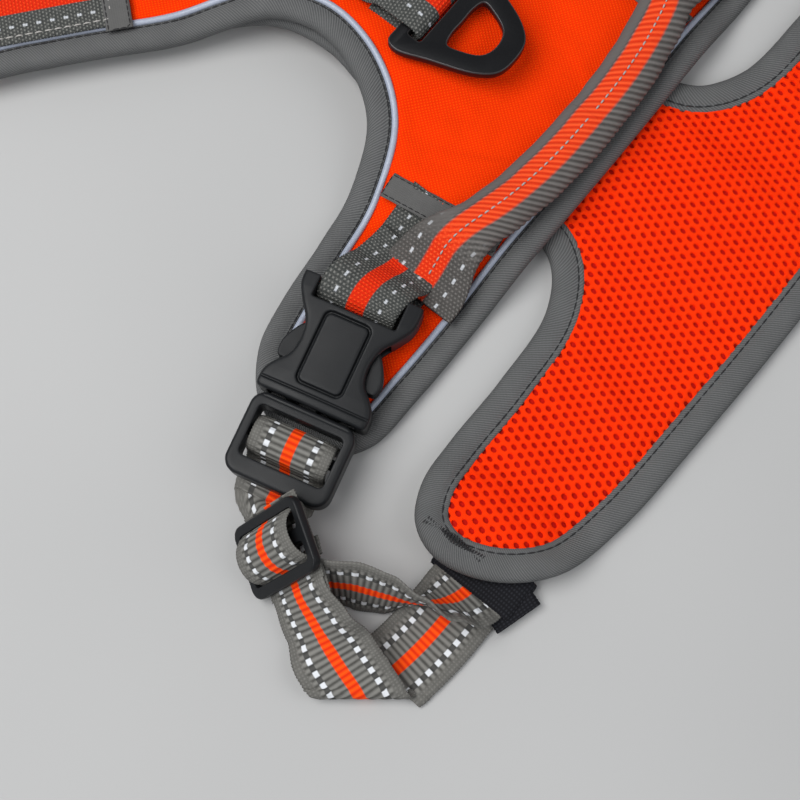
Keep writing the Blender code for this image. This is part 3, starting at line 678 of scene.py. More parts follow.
def build_back_panel():
    """Cover, piping, binding, stitching and lining of the back panel."""
    loop = even_loop(BACK_HALF, 1.5)
    cover_loop = inset(loop, BACK_BINDING + 1.2)
    points, faces, distance = filled_sheet(cover_loop[::2], 3.0, back_height)
    pins = np.clip(1.0 - distance / 2.5, 0.0, 1.0)
    points = puffed(points, faces, pins, 1.2, 0.012, 0.7)
    cover = add_mesh("back_cover_cloth", points, faces, LOOK["oxford"], thickness=0.8)
    smooth = cover.modifiers.new("smooth", "SUBSURF")
    smooth.levels = smooth.render_levels = 1
    settle(cover, "root", "orange_cover", "back_cover", "back_padding")

    binding = sweep_loop("back_binding_tape", loop, binding_profile(BACK_BINDING, BACK_TOP, 0.75), panel_rise,
                         LOOK["binding"], wrinkled_edge)
    settle(binding, "root", "grey_binding", "back_binding")
    ring = [(BACK_BINDING + 0.95 + 1.05 * math.cos(a), BACK_TOP - 0.35 + 1.05 * math.sin(a))
            for a in (math.pi * 2 * k / 10 for k in range(10))]
    piping = sweep_loop("back_piping_cord", loop, ring, panel_rise, LOOK["piping"])
    settle(piping, "root", "reflective_piping", "back_piping")
    thread = stitch_loop("back_binding_stitches", loop, BACK_BINDING - 0.75, BACK_TOP - 0.3, panel_rise, 2.7,
                         2.5, 0.24, "dark_thread")
    settle(thread, "root", "grey_binding")

    route = []
    for k in range(46):
        x, y = 12.5 * (k / 22.5 - 1), 28.3 + 0.9 * (-1) ** k
        route.append((x, y, panel_rise(x, y) + BACK_TOP + 0.2))
    thread = stitch_run("back_tack_line", route, 1.0, 0.9, 0.16, "tan_thread")
    settle(thread, "root", "orange_cover")

    under_loop = inset(loop, BACK_BINDING - 1.0)
    points, faces, _ = filled_sheet(under_loop[::3], 4.0,
                                    lambda x, y, d: panel_rise(x, y) + 0.35 - 0.3 * math.exp(-d / 4))
    lining = add_mesh("back_lining_mesh", points, [f[::-1] for f in faces], LOOK["mesh"], thickness=0.9)
    settle(lining, "root", "orange_mesh", "back_lining")


MESH_ANGLE = 76.0
MESH_PITCH = (3.1, 2.55)
HOLE = (1.08, 0.8)


def perforated(loop, height):
    """A knitted sheet with rows of staggered oval holes, covering the loop."""
    angle = math.radians(MESH_ANGLE)
    turn = np.array([[math.cos(angle), -math.sin(angle)], [math.sin(angle), math.cos(angle)]])
    pitch_x, pitch_y = MESH_PITCH
    reach = np.abs(loop @ turn).max() + 5
    rows = int(reach / pitch_y)
    columns = int(reach / pitch_x)
    points, faces, index = [], [], {}

    def vertex(key, u, v, sink):
        if key is None or key not in index:
            x, y = turn @ np.array((u, v))
            points.append((x, y, height(x, y) - sink))
            if key is None:
                return len(points) - 1
            index[key] = len(points) - 1
        return index[key]

    cells = []
    for row in range(-rows, rows + 1):
        for column in range(-columns, columns + 1):
            u = (column + 0.5 * (row % 2)) * pitch_x
            v = row * pitch_y
            cells.append((row, column, u, v))
    centres = np.array([(u, v) for _, _, u, v in cells]) @ turn.T
    inside = points_inside(centres, loop)
    for (row, column, u, v), keep in zip(cells, inside):
        if not keep:
            continue
        ring = []
        shift = row % 2
        for dx, dy in ((1, 0), (1, 1), (0, 1), (-1, 1), (-1, 0), (-1, -1), (0, -1), (1, -1)):
            key = (2 * column + shift + dx, 2 * row + dy)
            ring.append(vertex(key, u + dx * pitch_x / 2, v + dy * pitch_y / 2, 0.0))
        wobble = noise.noise(Vector((u * 0.9, v * 0.9, 0.0))) * 0.12
        for grow, sink in ((1.22, 0.02), (1.0, 0.2), (0.9, 1.0)):
            new = []
            for k in range(8):
                a = 2 * math.pi * k / 8
                new.append(vertex(None, u + HOLE[0] * (grow + wobble) * math.cos(a),
                                  v + HOLE[1] * (grow + wobble) * math.sin(a), sink))
            for k in range(8):
                n = (k + 1) % 8
                faces.append((ring[k], ring[n], new[n], new[k]))
            ring = new
    return points, faces


def points_inside(points, loop):
    """Which points lie inside the loop, by counting crossings."""
    x, y = points[:, 0], points[:, 1]
    inside = np.zeros(len(points), bool)
    for (x1, y1), (x2, y2) in zip(loop, np.roll(loop, -1, axis=0)):
        crosses = (y1 > y) != (y2 > y)
        with np.errstate(divide="ignore", invalid="ignore"):
            at = (x2 - x1) * (y - y1) / (y2 - y1) + x1
        inside ^= crosses & (x < at)
    return inside


class HeightMap:
    """The height of a simulated sheet at any place, read from its nearest points."""

    def __init__(self, points):
        self.cells = {}
        for x, y, z in points:
            self.cells.setdefault((int(x // 4), int(y // 4)), []).append((x, y, z))

    def __call__(self, x, y):
        cx, cy = int(x // 4), int(y // 4)
        total, weight = 0.0, 0.0
        for i in (-1, 0, 1):
            for j in (-1, 0, 1):
                for px, py, pz in self.cells.get((cx + i, cy + j), ()):
                    w = math.exp(-((px - x) ** 2 + (py - y) ** 2) / 5.0)
                    total += w * pz
                    weight += w
        return total / weight if weight > 1e-9 else plate_rise(x, y) + CHEST_TOP - 0.6


def chest_height(x, y, d):
    """The lining's top: soft, full inside and pulled down at the binding."""
    pull = math.exp(-d / 5.0)
    soft = swell(x, y, 26, 7.0) * 0.45 + swell(x, y, 10, 2.0) * 0.15
    return plate_rise(x, y) + CHEST_TOP + 0.35 - 1.1 * pull + soft * (1 - pull)


def build_chest_plate():
    """Lining with its holes, backing, cover, binding and stitching of the chest plate."""
    loop = even_loop(CHEST_HALF, 1.5)
    points, faces, distance = filled_sheet(inset(loop, CHEST_BINDING - 1.0)[::2], 3.2, chest_height)
    pins = np.clip(1.0 - distance / 3.0, 0.0, 1.0)
    points = puffed(points, faces, pins, 1.2, 0.014, 0.9)
    surface = HeightMap(points)
    # The backing's dark red is painted shade in the lining's holes.
    backing_points = points - np.array((0, 0, 1.0))
    backing = add_mesh("chest_lining_backing", backing_points, faces, LOOK["backing"], thickness=0.6)
    settle(backing, "root", "orange_mesh", "chest_padding")
    holes, hole_faces = perforated(inset(loop, CHEST_BINDING - 2.6), surface)
    lining = add_mesh("chest_lining_mesh", holes, hole_faces, LOOK["mesh"])
    settle(lining, "root", "orange_mesh", "chest_lining")

    binding = sweep_loop("chest_binding_tape", loop, binding_profile(CHEST_BINDING, CHEST_TOP + 0.1, 1.7),
                         plate_rise, LOOK["binding"], wrinkled_edge)
    settle(binding, "root", "grey_binding", "chest_binding")
    thread = stitch_loop("chest_binding_stitches", loop, CHEST_BINDING - 1.75, CHEST_TOP - 0.22, plate_rise,
                         2.9, 2.6, 0.24, "dark_thread")
    settle(thread, "root", "grey_binding")
    for side, word in SIDES:
        route = []
        for k in range(46):
            t = k / 45
            x = (122.6 - 0.8 * t + 1.5 * (-1) ** k) * side
            y = -46.5 - 19.5 * t
            route.append((x, y, plate_rise(x, y) + CHEST_TOP + 0.42))
        tack = stitch_run("chest_bartack_" + word, route, 1.55, 1.5, 0.2, "dark_thread")
        settle(tack, "root", "grey_binding")
    points, faces, _ = filled_sheet(inset(loop, CHEST_BINDING - 0.6)[::3], 5.0,
                                    lambda x, y, d: plate_rise(x, y) + 0.15)
    cover = add_mesh("chest_cover_cloth", points, [f[::-1] for f in faces], LOOK["oxford"], thickness=0.6)
    settle(cover, "root", "orange_cover", "chest_cover")


# ------------------------------------------------------------- webbing

def strap_frames(stations, width, spacing):
    """Evenly spaced (centre, half side, along, distance) along webbing through its stations.

    A station is (centre, direction across). A third item marks one whose edge to edge line stays slanted to
    the run: True widens that line so that the webbing keeps its width, and "exact" leaves its length alone.
    """
    centres = [Vector(s[0]) for s in stations]
    across = [Vector(s[1]).normalized() for s in stations]
    slant = [1.0 if len(s) > 2 else 0.0 for s in stations]
    exact = [1.0 if s[-1] == "exact" else 0.0 for s in stations]
    last = len(stations) - 1
    dense, sides, slants, exacts = [], [], [], []
    for i in range(last):
        ends = [centres[max(0, i - 1)], centres[i], centres[i + 1], centres[min(last, i + 2)]]
        ends[0] = ends[0] if i else centres[0] * 2 - centres[1]
        ends[3] = ends[3] if i + 2 <= last else centres[last] * 2 - centres[last - 1]
        steps = 20
        for s in range(steps + (i == last - 1)):
            t = s / steps
            smooth = t * t * (3 - 2 * t)
            dense.append(spline_point(*ends, t))
            sides.append(across[i].lerp(across[i + 1], smooth))
            slants.append(slant[i] * (1 - t) + slant[i + 1] * t)
            exacts.append(exact[i] * (1 - t) + exact[i + 1] * t)
    dense, sides = np.array(dense), np.array(sides)
    lengths = np.concatenate([[0], np.cumsum(np.linalg.norm(np.diff(dense, axis=0), axis=1))])
    count = max(3, int(lengths[-1] / spacing))
    wanted = np.linspace(0, lengths[-1], count + 1)
    pick = [np.interp(wanted, lengths, dense[:, k]) for k in range(3)]
    pick_side = [np.interp(wanted, lengths, sides[:, k]) for k in range(3)]
    pick_slant = np.interp(wanted, lengths, slants)
    pick_exact = np.interp(wanted, lengths, exacts)
    route = np.stack(pick, axis=1)
    out = []
    for k in range(len(route)):
        before, after = route[max(k - 1, 0)], route[min(k + 1, len(route) - 1)]
        along = Vector(after - before).normalized()
        side = Vector([axis[k] for axis in pick_side]).normalized()
        square = side - along * side.dot(along)
        straight = square.normalized() * (width / 2)
        stretch = 1 / max(square.length, 0.3)
        slanted = side * (width / 2) * (stretch + (1 - stretch) * pick_exact[k])
        half = straight.lerp(slanted, float(pick_slant[k]))
        out.append((Vector(route[k]), half, along, float(wanted[k])))
    return out


def ribbed(pitch, depth):
    """Rib heights for a strap: cross ribs of this pitch and depth."""
    def height(across, along, half):
        edge = smooth_step(half - 1.6, half - 0.2, abs(across))
        return depth * (0.5 + 0.5 * math.cos(2 * math.pi * along / pitch)) * (1 - edge)
    return height


def knotted(pitch, depth):
    """Knot heights for coarse webbing."""
    def height(across, along, half):
        row = math.floor(along / pitch)
        a = math.sin(math.pi * (across + row * pitch * 0.6) / (pitch * 0.6))
        b = math.sin(math.pi * along / pitch)
        return depth * abs(a * b)
    return height


def strap_piece(name, stations, width, thickness, look, texture, spacing=0.45, columns=26):
    """Webbing as a closed ribbed band through its stations, with its own weave coordinates."""
    frames = strap_frames(stations, width, spacing)
    half_width = width / 2
    points, weave = [], []
    top = [-1 + 2 * k / (columns - 1) for k in range(columns)]
    for centre, half, along, distance in frames:
        up = half.cross(along).normalized()
        skew = half.dot(along)
        for sign, order in ((1, top), (-1, top[::-1])):
            for a in order:
                reach = distance + skew * a
                edge = 1 - 0.55 * smooth_step(0.93, 1.0, abs(a))
                body = thickness / 2 * edge - 0.1
                bump = texture(a * half_width, reach, half_width)
                scallop = 1 + 0.012 * math.cos(2 * math.pi * reach / 0.9) * (abs(a) > 0.99)
                point = centre + half * (a * scallop) + up * (sign * (body + bump * edge))
                point.z += max(0.0, 0.1 + thickness * 0.6 - centre.z - half.z * a)
                points.append(point)
                weave.append((a * half_width, reach))
    size = 2 * columns
    faces = ring_quads(0, len(frames), size)
    for a in (0, (len(frames) - 1) * size):
        faces += [(a + k, a + k + 1, a + size - 2 - k, a + size - 1 - k) for k in range(columns - 1)]
    return add_mesh(name, points, faces, LOOK[look], weave)


def flipped(stations, side):
    """The stations for the left side (-1) as given, or mirrored for the right side (1)."""
    if side < 0:
        return stations
    return [((-c[0], c[1], c[2]), (-a[0], a[1], a[2]), *rest) for c, a, *rest in stations]


def laid(start, end, height, steps=8):
    """Stations of webbing laid on the back panel."""
    start, end = Vector(start), Vector(end)
    along = (end - start).normalized()
    across = (along.y, -along.x, 0)
    out = []
    for k in range(steps + 1):
        p = start.lerp(end, k / steps)
        out.append(((p.x, p.y, panel_rise(p.x, p.y) + BACK_TOP + height), across))
    return out


def seam(name, stations, width, inset_by, lift, pitch, length, radius, look):
    """A rectangle of stitches on webbing."""
    frames = strap_frames(stations, width, 1.0)
    share = 1 - inset_by / (width / 2)
    left = [c - h * share + h.cross(a).normalized() * lift for c, h, a, _ in frames]
    right = [c + h * share + h.cross(a).normalized() * lift for c, h, a, _ in frames]
    up = frames[0][1].cross(frames[0][2]).normalized()
    return stitch_run(name, left + right[::-1] + [left[0]], pitch, length, radius, look, up)


COARSE = knotted(KNOT_PITCH, 0.16)
RIBS = ribbed(RIB_PITCH, 0.24)
BLACK_RIBS = ribbed(0.9, 0.1)


def coarse_strap(name, stations, body, *nodes):
    """Wide grey webbing through its stations, riding on a body."""
    piece = strap_piece(name, stations, WEBBING, WEBBING_THICK, "webbing", COARSE)
    settle(piece, body, "grey_webbing", *nodes)


def build_ribbons(side, word):
    """The two ribbons sewn over the webbing's ends on each side."""
    rear = laid((51.2 * side, 25.6), (45.8 * side, -12.5), 1.9, 14)
    across = Vector((NECK_DIRECTION.y, -NECK_DIRECTION.x, 0))
    middle = NECK_LOBE - NECK_DIRECTION * 52
    ends = [middle - across * 14.5, middle + across * 14.5]
    start, end = [(-p.x * side, p.y) for p in ends]
    neck = laid(start, end, 2.0, 10)
    for kind, stations in (("rear_ribbon_", rear), ("neck_ribbon_", neck)):
        piece = strap_piece(kind + word + "_tape", stations, 8.4, 0.9, "ribbon", ribbed(0.6, 0.03), 0.8, 12)
        settle(piece, "root", "grey_ribbon", kind + word)
        thread = seam(kind + word + "_stitches", stations, 8.4, 0.8, 0.42, 2.2, 1.9, 0.16, "dark_thread")
        settle(thread, "root", "grey_ribbon")


def build_side_webbing(side, word):
    """Webbing sewn on the rear arm, over the socket's bar and back under the handle."""
    lower = []
    for x in (-45.5, -52, -58, -64, -70, -76, -82):
        lower.append(((x, 7.2, panel_rise(x, 7) + BACK_TOP + 0.9), (0, 1, 0)))
    coarse_strap("side_webbing_low_" + word, flipped(lower, side), "root")
    loop = [
        ((-62.0, 6.6, 9.6), (-0.02, 1, 0)), ((-67.0, 6.9, 10.2), (-0.06, 1, 0)),
        ((-71.0, 7.4, 11.6), (-0.12, 1, 0)), ((-74.8, 7.9, 14.6), (-0.2, 1, 0)),
        ((-79.0, 8.4, 17.0), (-0.25, 1, 0)), ((-83.2, 8.4, 17.5), (-0.25, 1, 0)),
        ((-87.0, 7.9, 16.2), (-0.25, 1, 0)), ((-88.9, 7.4, 13.0), (-0.25, 1, 0)),
        ((-87.6, 7.4, 9.2), (-0.25, 1, 0)), ((-83.0, 8.0, 7.9), (-0.22, 1, 0)),
        ((-76.0, 8.2, 8.0), (-0.1, 1, 0)),
    ]
    coarse_strap("side_webbing_loop_" + word, flipped(loop, side), "root", "side_webbing_" + word)


def build_neck_webbing(side, word):
    """Webbing sewn on the neck arm, its slider hump, the fold and the run back below."""
    neck = NECK_DIRECTION
    across = (neck.y, -neck.x, 0)
    ends = [NECK_LOBE - neck * 50, NECK_LOBE + neck * (NECK_SLIDER_OUT - 11.0)]
    stations = []
    for k in range(13):
        p = ends[0].lerp(ends[1], k / 12)
        stations.append(((p.x, p.y, panel_rise(p.x, p.y) + BACK_TOP + 1.35), across))
    coarse_strap("neck_webbing_top_" + word, flipped(stations, side), "root", "neck_webbing_" + word)
    thread = seam("neck_webbing_seam_" + word, flipped(stations[:8], side), WEBBING, 2.0, 0.75, 3.0, 2.3,
                  0.26, "pale_thread")
    settle(thread, "root", "grey_webbing")

    high = BACK_TOP + 1.35 + BACK_BASE
    profile = [(-17.0, -1.8), (-14.0, -1.7), (-10.5, -1.0), (-6.6, 0.5), (-4.4, 2.9), (-1.8, 4.9), (1.8, 4.9),
               (4.4, 2.9), (6.6, 0.5), (9.5, -1.2), (11.5, -1.8), (13.0, -1.9)]
    hump = [(tuple(NECK_LOBE + neck * (NECK_SLIDER_OUT + s) + Vector((0, 0, high + z))), across)
            for s, z in profile]
    coarse_strap("neck_webbing_hump_" + word, flipped(hump, side), "neck_slider_" + word, "neck_hump_" + word)

    out = NECK_FOLD_OUT
    profile = [(NECK_SLIDER_OUT + 9.5, high), (out - 5, high - 0.3), (out - 1, high - 1.0),
               (out + 2.6, high - 3.4), (out + 3.6, high - 6.2), (out + 2.2, 4.0), (out - 4, 2.0),
               (out - 16, 1.4), (26, 1.4), (9, 2.6)]
    run = [(tuple(NECK_LOBE + neck * s + Vector((0, 0, z))), across) for s, z in profile]
    coarse_strap("neck_strap_run_" + word, flipped(run, side), "root", "neck_strap_" + word)


def ring_webbing(name, bar_y, bar_z, ring_thick, thickness, up, tail, slot, look, node):
    """Webbing that goes round a ring's bar and back under itself."""
    inner = ring_thick / 2 + RING_PLAY + thickness / 2
    outer = inner + 0.25
    profile = [
        (14.0, -inner), (6.0, -inner), (-2.6, -inner), (-4.3, -inner * 0.72), (-4.95, 0.0),
        (-4.3, inner * 0.75), (-2.4, outer), (4.5, outer), (10.5, outer - 0.4),
        (17.0, -inner + thickness + 0.3), (tail, -inner + thickness + 0.3),
    ]
    stations = [((0, bar_y + dy, bar_z + up * dz), (1, 0, 0)) for dy, dz in profile]
    piece = strap_piece(name, stations, WEBBING, thickness, look, COARSE)
    settle(piece, "root", slot, node)
    return stations


def build_ring_webbing():
    """The webbing that holds the two rings."""
    low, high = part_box("leash_ring")
    bar_z = (low.z + high.z) / 2 / MM
    stations = ring_webbing("leash_webbing_loop", BAR_Y, bar_z, LEASH_RING_THICK, WEBBING_THICK, 1, 56,
                            "grey_webbing", "webbing", "leash_webbing")
    for k, shift in enumerate((0.0, 3.0)):
        thread = seam(f"leash_webbing_seam_{k}", stations[8:], WEBBING - shift, 1.8, 0.8, 2.8, 2.2, 0.26,
                      "pale_thread")
        settle(thread, "root", "grey_webbing")
    low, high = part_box("chest_ring")
    bar_z = (low.z + high.z) / 2 / MM
    bar_y = JOINTS["chest_ring_hinge"]["pos_m"][1] / MM - SHIFT_Y
    ring_webbing("chest_webbing_loop", bar_y, bar_z, CHEST_RING_THICK, 1.0, -1, 20, "black_webbing",
                 "black_webbing", "chest_webbing")


# ------------------------------------------------------------- placed frames of the fittings

def frame_matrix(at, roll, pitch, yaw):
    """A placed frame in laid out millimetres, from its angles in degrees."""
    turn = Matrix.Rotation(math.radians(yaw), 4, "Z") @ Matrix.Rotation(math.radians(pitch), 4, "Y")
    return Matrix.Translation(Vector(at)) @ turn @ Matrix.Rotation(math.radians(roll), 4, "X")


def buckle_matrix(side):
    """The buckle's frame: X from the socket's bar to the plug's end."""
    yaw = 180 + BUCKLE_YAW if side < 0 else -BUCKLE_YAW
    return frame_matrix((BUCKLE_AT[0] * -side, BUCKLE_AT[1], BUCKLE_AT[2]), 0, BUCKLE_PITCH, yaw)


def slider_matrix(side):
    """The side slider's frame: X along the strap, Y across it."""
    yaw = 180 + SLIDER_YAW if side < 0 else -SLIDER_YAW
    return frame_matrix((SLIDER_AT[0] * -side, SLIDER_AT[1], SLIDER_AT[2]), -SLIDER_ROLL * side, 0, yaw)


def outline_solid(loop, low, high):
    """A bmesh prism of an outline, in millimetres."""
    bm = bmesh.new()
    face = bm.faces.new([bm.verts.new((x, y, low)) for x, y in loop])
    grown = bmesh.ops.extrude_face_region(bm, geom=[face])["geom"]
    top = [g for g in grown if isinstance(g, bmesh.types.BMVert)]
    bmesh.ops.translate(bm, vec=(0, 0, high - low), verts=top)
    bmesh.ops.recalc_face_normals(bm, faces=bm.faces)
    return bm


def solid_object(name, bm):
    """A temporary solid in laid out millimetres."""
    mesh = bpy.data.meshes.new(name)
    bm.to_mesh(mesh)
    bm.free()
    obj = bpy.data.objects.new(name, mesh)
    bpy.context.scene.collection.objects.link(obj)
    return obj


def box_solid(low, high):
    """A bmesh box."""
    corners = ((low[0], low[1]), (high[0], low[1]), (high[0], high[1]), (low[0], high[1]))
    return outline_solid(corners, low[2], high[2])


def rounded_box(x_low, x_high, half_width, radius, arc=5):
    """A rectangle with round corners, symmetric about the X axis."""
    loop = []
    corners = ((x_high - radius, half_width - radius, 0), (x_low + radius, half_width - radius, 90),
               (x_low + radius, radius - half_width, 180), (x_high - radius, radius - half_width, 270))
    for x, y, start in corners:
        for i in range(arc + 1):
            angle = math.radians(start + 90 * i / arc)
            loop.append((x + radius * math.cos(angle), y + radius * math.sin(angle)))
    return loop


def round_outline(points, steps=5, corners=()):
    """A smooth closed outline through the points; sharp at the given corner numbers."""
    loop = [Vector((x, y, 0)) for x, y in points]
    count = len(loop)
    out = []
    for i in range(count):
        around = [loop[(i + k) % count] for k in (-1, 0, 1, 2)]
        if i in corners:
            around[0] = around[1] * 2 - around[2]
        if (i + 1) % count in corners:
            around[3] = around[2] * 2 - around[1]
        out += [tuple(spline_point(*around, s / steps))[:2] for s in range(steps)]
    return out


def evaluated(obj):
    """A new mesh of the object with its modifiers applied."""
    return bpy.data.meshes.new_from_object(obj.evaluated_get(bpy.context.evaluated_depsgraph_get()))


def carved(name, body, tools):
    """A temporary solid: the body, with (operation, bmesh) tools applied in turn."""
    base = solid_object(name, body)
    for operation, bm in tools:
        tool = solid_object(name + "_tool", bm)
        modifier = base.modifiers.new("cut", "BOOLEAN")
        modifier.operation = operation
        modifier.solver = "EXACT"
        modifier.object = tool
        mesh = evaluated(base)
        base.modifiers.clear()
        base.data = mesh
        bpy.data.objects.remove(tool, do_unlink=True)
    return base


def moulded(name, body, tools, matrix, voxel, smooth, shape=None):
    """A moulded plastic piece: a carved solid, remeshed, softened and placed."""
    base = carved(name, body, tools)
    remesh = base.modifiers.new("remesh", "REMESH")
    remesh.mode = "VOXEL"
    remesh.voxel_size = voxel
    soften = base.modifiers.new("soften", "SMOOTH")
    soften.factor = 0.5
    soften.iterations = smooth
    mesh = evaluated(base)
    bpy.data.objects.remove(base, do_unlink=True)
    points = np.array([v.co for v in mesh.vertices])
    if shape:
        points = shape(points)
    faces = [tuple(p.vertices) for p in mesh.polygons]
    return add_mesh(name, [matrix @ Vector(p) for p in points], faces, LOOK["plastic"])


# ------------------------------------------------------------- rings

RING_HALF = [
    (0, -32.2), (-6.5, -31), (-11, -26), (-16.5, -12), (-20.0, -2.0), (-18.8, 1.4), (-14, 1.9), (0, 1.9),
]
EYE_HALF = [(0, -25.2), (-5.0, -23.6), (-8.2, -17.5), (-8.9, -13.4), (-5.5, -12.2), (0, -12.2)]


def build_ring(name, thickness):
    """A flat ring with softened edges, its bevels coloured lighter as a painted highlight."""
    at = JOINTS[name + "_hinge"]["pos_m"]
    place = Matrix.Translation((at[0] / MM, at[1] / MM - SHIFT_Y, at[2] / MM))
    outer, eye = [round_outline(mirrored(half), 7) for half in (RING_HALF, EYE_HALF)]
    slot = [(y, x) for x, y in rounded_box(-6.6, -1.9, 13.6, 0.9)]
    tools = [("DIFFERENCE", outline_solid(loop, -5, 5)) for loop in (eye, slot)]
    base = carved(name + "_body", outline_solid(outer, -thickness / 2, thickness / 2), tools)
    mesh = base.data
    mesh.transform(place)
    mesh.transform(Matrix.Translation((0, SHIFT_Y, 0)))
    mesh.transform(Matrix.Scale(MM, 4))
    bpy.data.objects.remove(base, do_unlink=True)
    ring = bpy.data.objects.new(name + "_metal", mesh)
    bpy.context.scene.collection.objects.link(ring)
    mesh.materials.append(LOOK["metal"])
    mesh.materials.append(LOOK["metal_edge_painted_highlight"])
    soft = ring.modifiers.new("soft", "BEVEL")
    soft.width = 0.42 * MM
    soft.segments = 3
    soft.limit_method = "ANGLE"
    soft.angle_limit = math.radians(50)
    # The bevels take the lighter edge colour, a painted highlight.
    soft.material = 1
    mesh.shade_smooth()
    settle(ring, name, "black_metal", name)


# ------------------------------------------------------------- handle

def grip_station(x):
    """Middle, half width, half height and flatness of the handle's section, x from its middle."""
    t = smooth_step(43, 70, abs(x))
    low = BACK_TOP + 3.3 + 0.8 + panel_rise(min(abs(x), 70), 0)
    bow = -10.0 * (1 - (min(abs(x), 58.0) / 58.0) ** 2.4)
    y = bow * (1 - t) - 1.5 * t
    z = 18.6 * (1 - t) + low * t
    half_width = GRIP_WIDTH / 2 * (1 - t) + HANDLE_WEBBING / 2 * t
    half_height = GRIP_HEIGHT / 2 * (1 - t) + 1.0 * t
    if abs(x) > 58:
        z = min(z, low + 4.0 * smooth_step(72, 50, abs(x)))
    return y, z, half_width, half_height, t


def coarse_knot(across, along):
    """Coarse knots, 0 to 1."""
    shifted = across + math.floor(along / KNOT_PITCH) * KNOT_SHIFT
    return abs(math.sin(math.pi * shifted / (2 * KNOT_SHIFT)) * math.sin(math.pi * along / KNOT_PITCH))


def build_handle():
    """The handle in two halves that meet in its middle: flat sewn ends that roll up into the grip."""
    count = 72
    for side, word in ((-1, "left"), (1, "right")):
        points, weave = [], []
        xs = [73.0, 72.9] + list(np.arange(72.6, 0, -0.4)) + [0.0]
        for x in xs:
            y, z, a, b, flat = grip_station(x)
            if x >= 72.9:
                b *= 0.6
            power = 1.0 - 0.62 * flat
            ring = []
            for k in range(count):
                angle = 2 * math.pi * k / count
                c, s = math.cos(angle), math.sin(angle)
                py = y + a * math.copysign(abs(c) ** power, c)
                pz = z + b * math.copysign(abs(s) ** power, s)
                ring.append((py, pz, c, s))
            lengths = np.cumsum([math.dist(ring[k][:2], ring[k - 1][:2]) for k in range(count)])
            total = lengths[-1]
            for k, (py, pz, c, s) in enumerate(ring):
                reach = (lengths[k] - lengths[count // 4] + total / 2) % total - total / 2
                slant = reach * ROPE_SLANT - x * side + 200
                rope = abs(math.sin(math.pi * slant / ROPE_PITCH))
                rear = smooth_step(-0.25, 0.35, -c) * (1 - flat)
                top = smooth_step(0.1, 0.6, s) * (1 - flat)
                front_plain = smooth_step(0.35, 0.6, c) * (1 - flat)
                lift = 0.5 * rope * max(rear, 0.4 * top) * (1 - front_plain)
                lift += 0.30 * coarse_knot(reach, x) * flat
                lift += 0.55 * (1 - flat) * smooth_step(0.0, 0.12, 0.62 - c)
                wave = swell(x * side, reach, 9, 2.0) * 0.45 * (1 - flat)
                crease = noise.noise(Vector((x * side / 8, reach / 14, 6.0)))
                wave += crease * 0.8 * flat * (1 - smooth_step(52, 60, x))
                out = lift + wave
                points.append((x * side, py + out * c, pz + out * s))
                weave.append((reach, x * side))
        faces = ring_quads(0, len(xs), count)
        faces.append(tuple(range(count)))
        faces.append(tuple((len(xs) - 1) * count + k for k in reversed(range(count))))
        half = add_mesh("handle_half_" + word, points, faces, LOOK["handle"], weave)
        middle_nodes = ("handle_grip", "handle_core") if side < 0 else ()
        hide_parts("handle_tab_" + word, "handle_fold_" + word, *middle_nodes)
        low, high = to_frame((56 * side, 0, 15)), to_frame((36 * side, 0, 15))
        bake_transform(half)
        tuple(low)
        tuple(high)
        route = []
        for x in np.arange(66.0, 0.0, -0.5):
            y, z, a, b, flat = grip_station(x)
            route.append((x * side, y - 0.4, z + b + 0.35 + 0.6 * (1 - flat)))
        thread = stitch_run("handle_seam_" + word, route, 2.3, 1.5, 0.27, "pale_thread")
        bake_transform(thread)
        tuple(low)
        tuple(high)


# ------------------------------------------------------------- buckles and sliders

SOCKET_HALF = [
    (-5.5, 13.4), (-6.2, 15.6), (-4.5, 17.6), (3, 18.0), (8, 15.4), (13, 12.0), (19, 10.9), (24, 11.9),
    (27.5, 15.0), (31, 17.0), (36, 17.2),
]
THUMB_PAD = [(12.5, 13.5), (16, 11.2), (20.5, 10.4), (25, 11.4), (27.6, 14.5), (27, 20), (12, 20)]
PRONG = [
    (35.4, 4.6), (36.0, 5.6), (36.0, 7.6), (35.4, 8.6), (31.0, 10.4), (28.0, 12.3), (25.8, 12.9),
    (25.2, 15.3), (21.5, 16.0), (17.0, 14.4), (13.2, 11.6), (12.0, 8.6), (14.2, 8.0), (19.5, 10.6),
    (25.0, 9.2), (30.5, 5.6),
]
PLUG_OFFSET = Matrix.Translation((36.3, 0, 5.4))
PRONG_OFFSET = Matrix.Translation((0, 0, 5.4))


def bevelled(bm, width, angle=40.0, segments=3):
    """Round the sharp edges of a bmesh."""
    sharp = [e for e in bm.edges if len(e.link_faces) == 2 and e.calc_face_angle(0) > math.radians(angle)]
    bmesh.ops.bevel(bm, geom=sharp, offset=width, segments=segments, profile=0.6, affect="EDGES")
    return bm


def frame_solid(outer, inner, low, high):
    """A bmesh of an outline with a hole in it."""
    bm = bmesh.new()
    section = [[bm.verts.new((x, y, z)) for x, y in loop]
               for loop, z in ((outer, low), (outer, high), (inner, high), (inner, low))]
    count = len(outer)
    for k in range(count):
        n = (k + 1) % count
        for a, b in zip(section, section[1:] + section[:1]):
            bm.faces.new((a[k], a[n], b[n], b[k]))
    bmesh.ops.recalc_face_normals(bm, faces=bm.faces)
    return bm


def socket_crown(points):
    """A slight crown across and along the socket's top, with its waist pressed in."""
    x, y, z = points.T
    top = np.clip((z - 6.0) / 4.8, 0, 1)
    ends = 0.5 * np.clip((4 - x) / 9, 0, 1) + 0.35 * np.clip((x - 29) / 7, 0, 1)
    points[:, 2] = z + top * (0.9 * (1 - (y / 17.5) ** 2) - ends - 0.35)
    return points


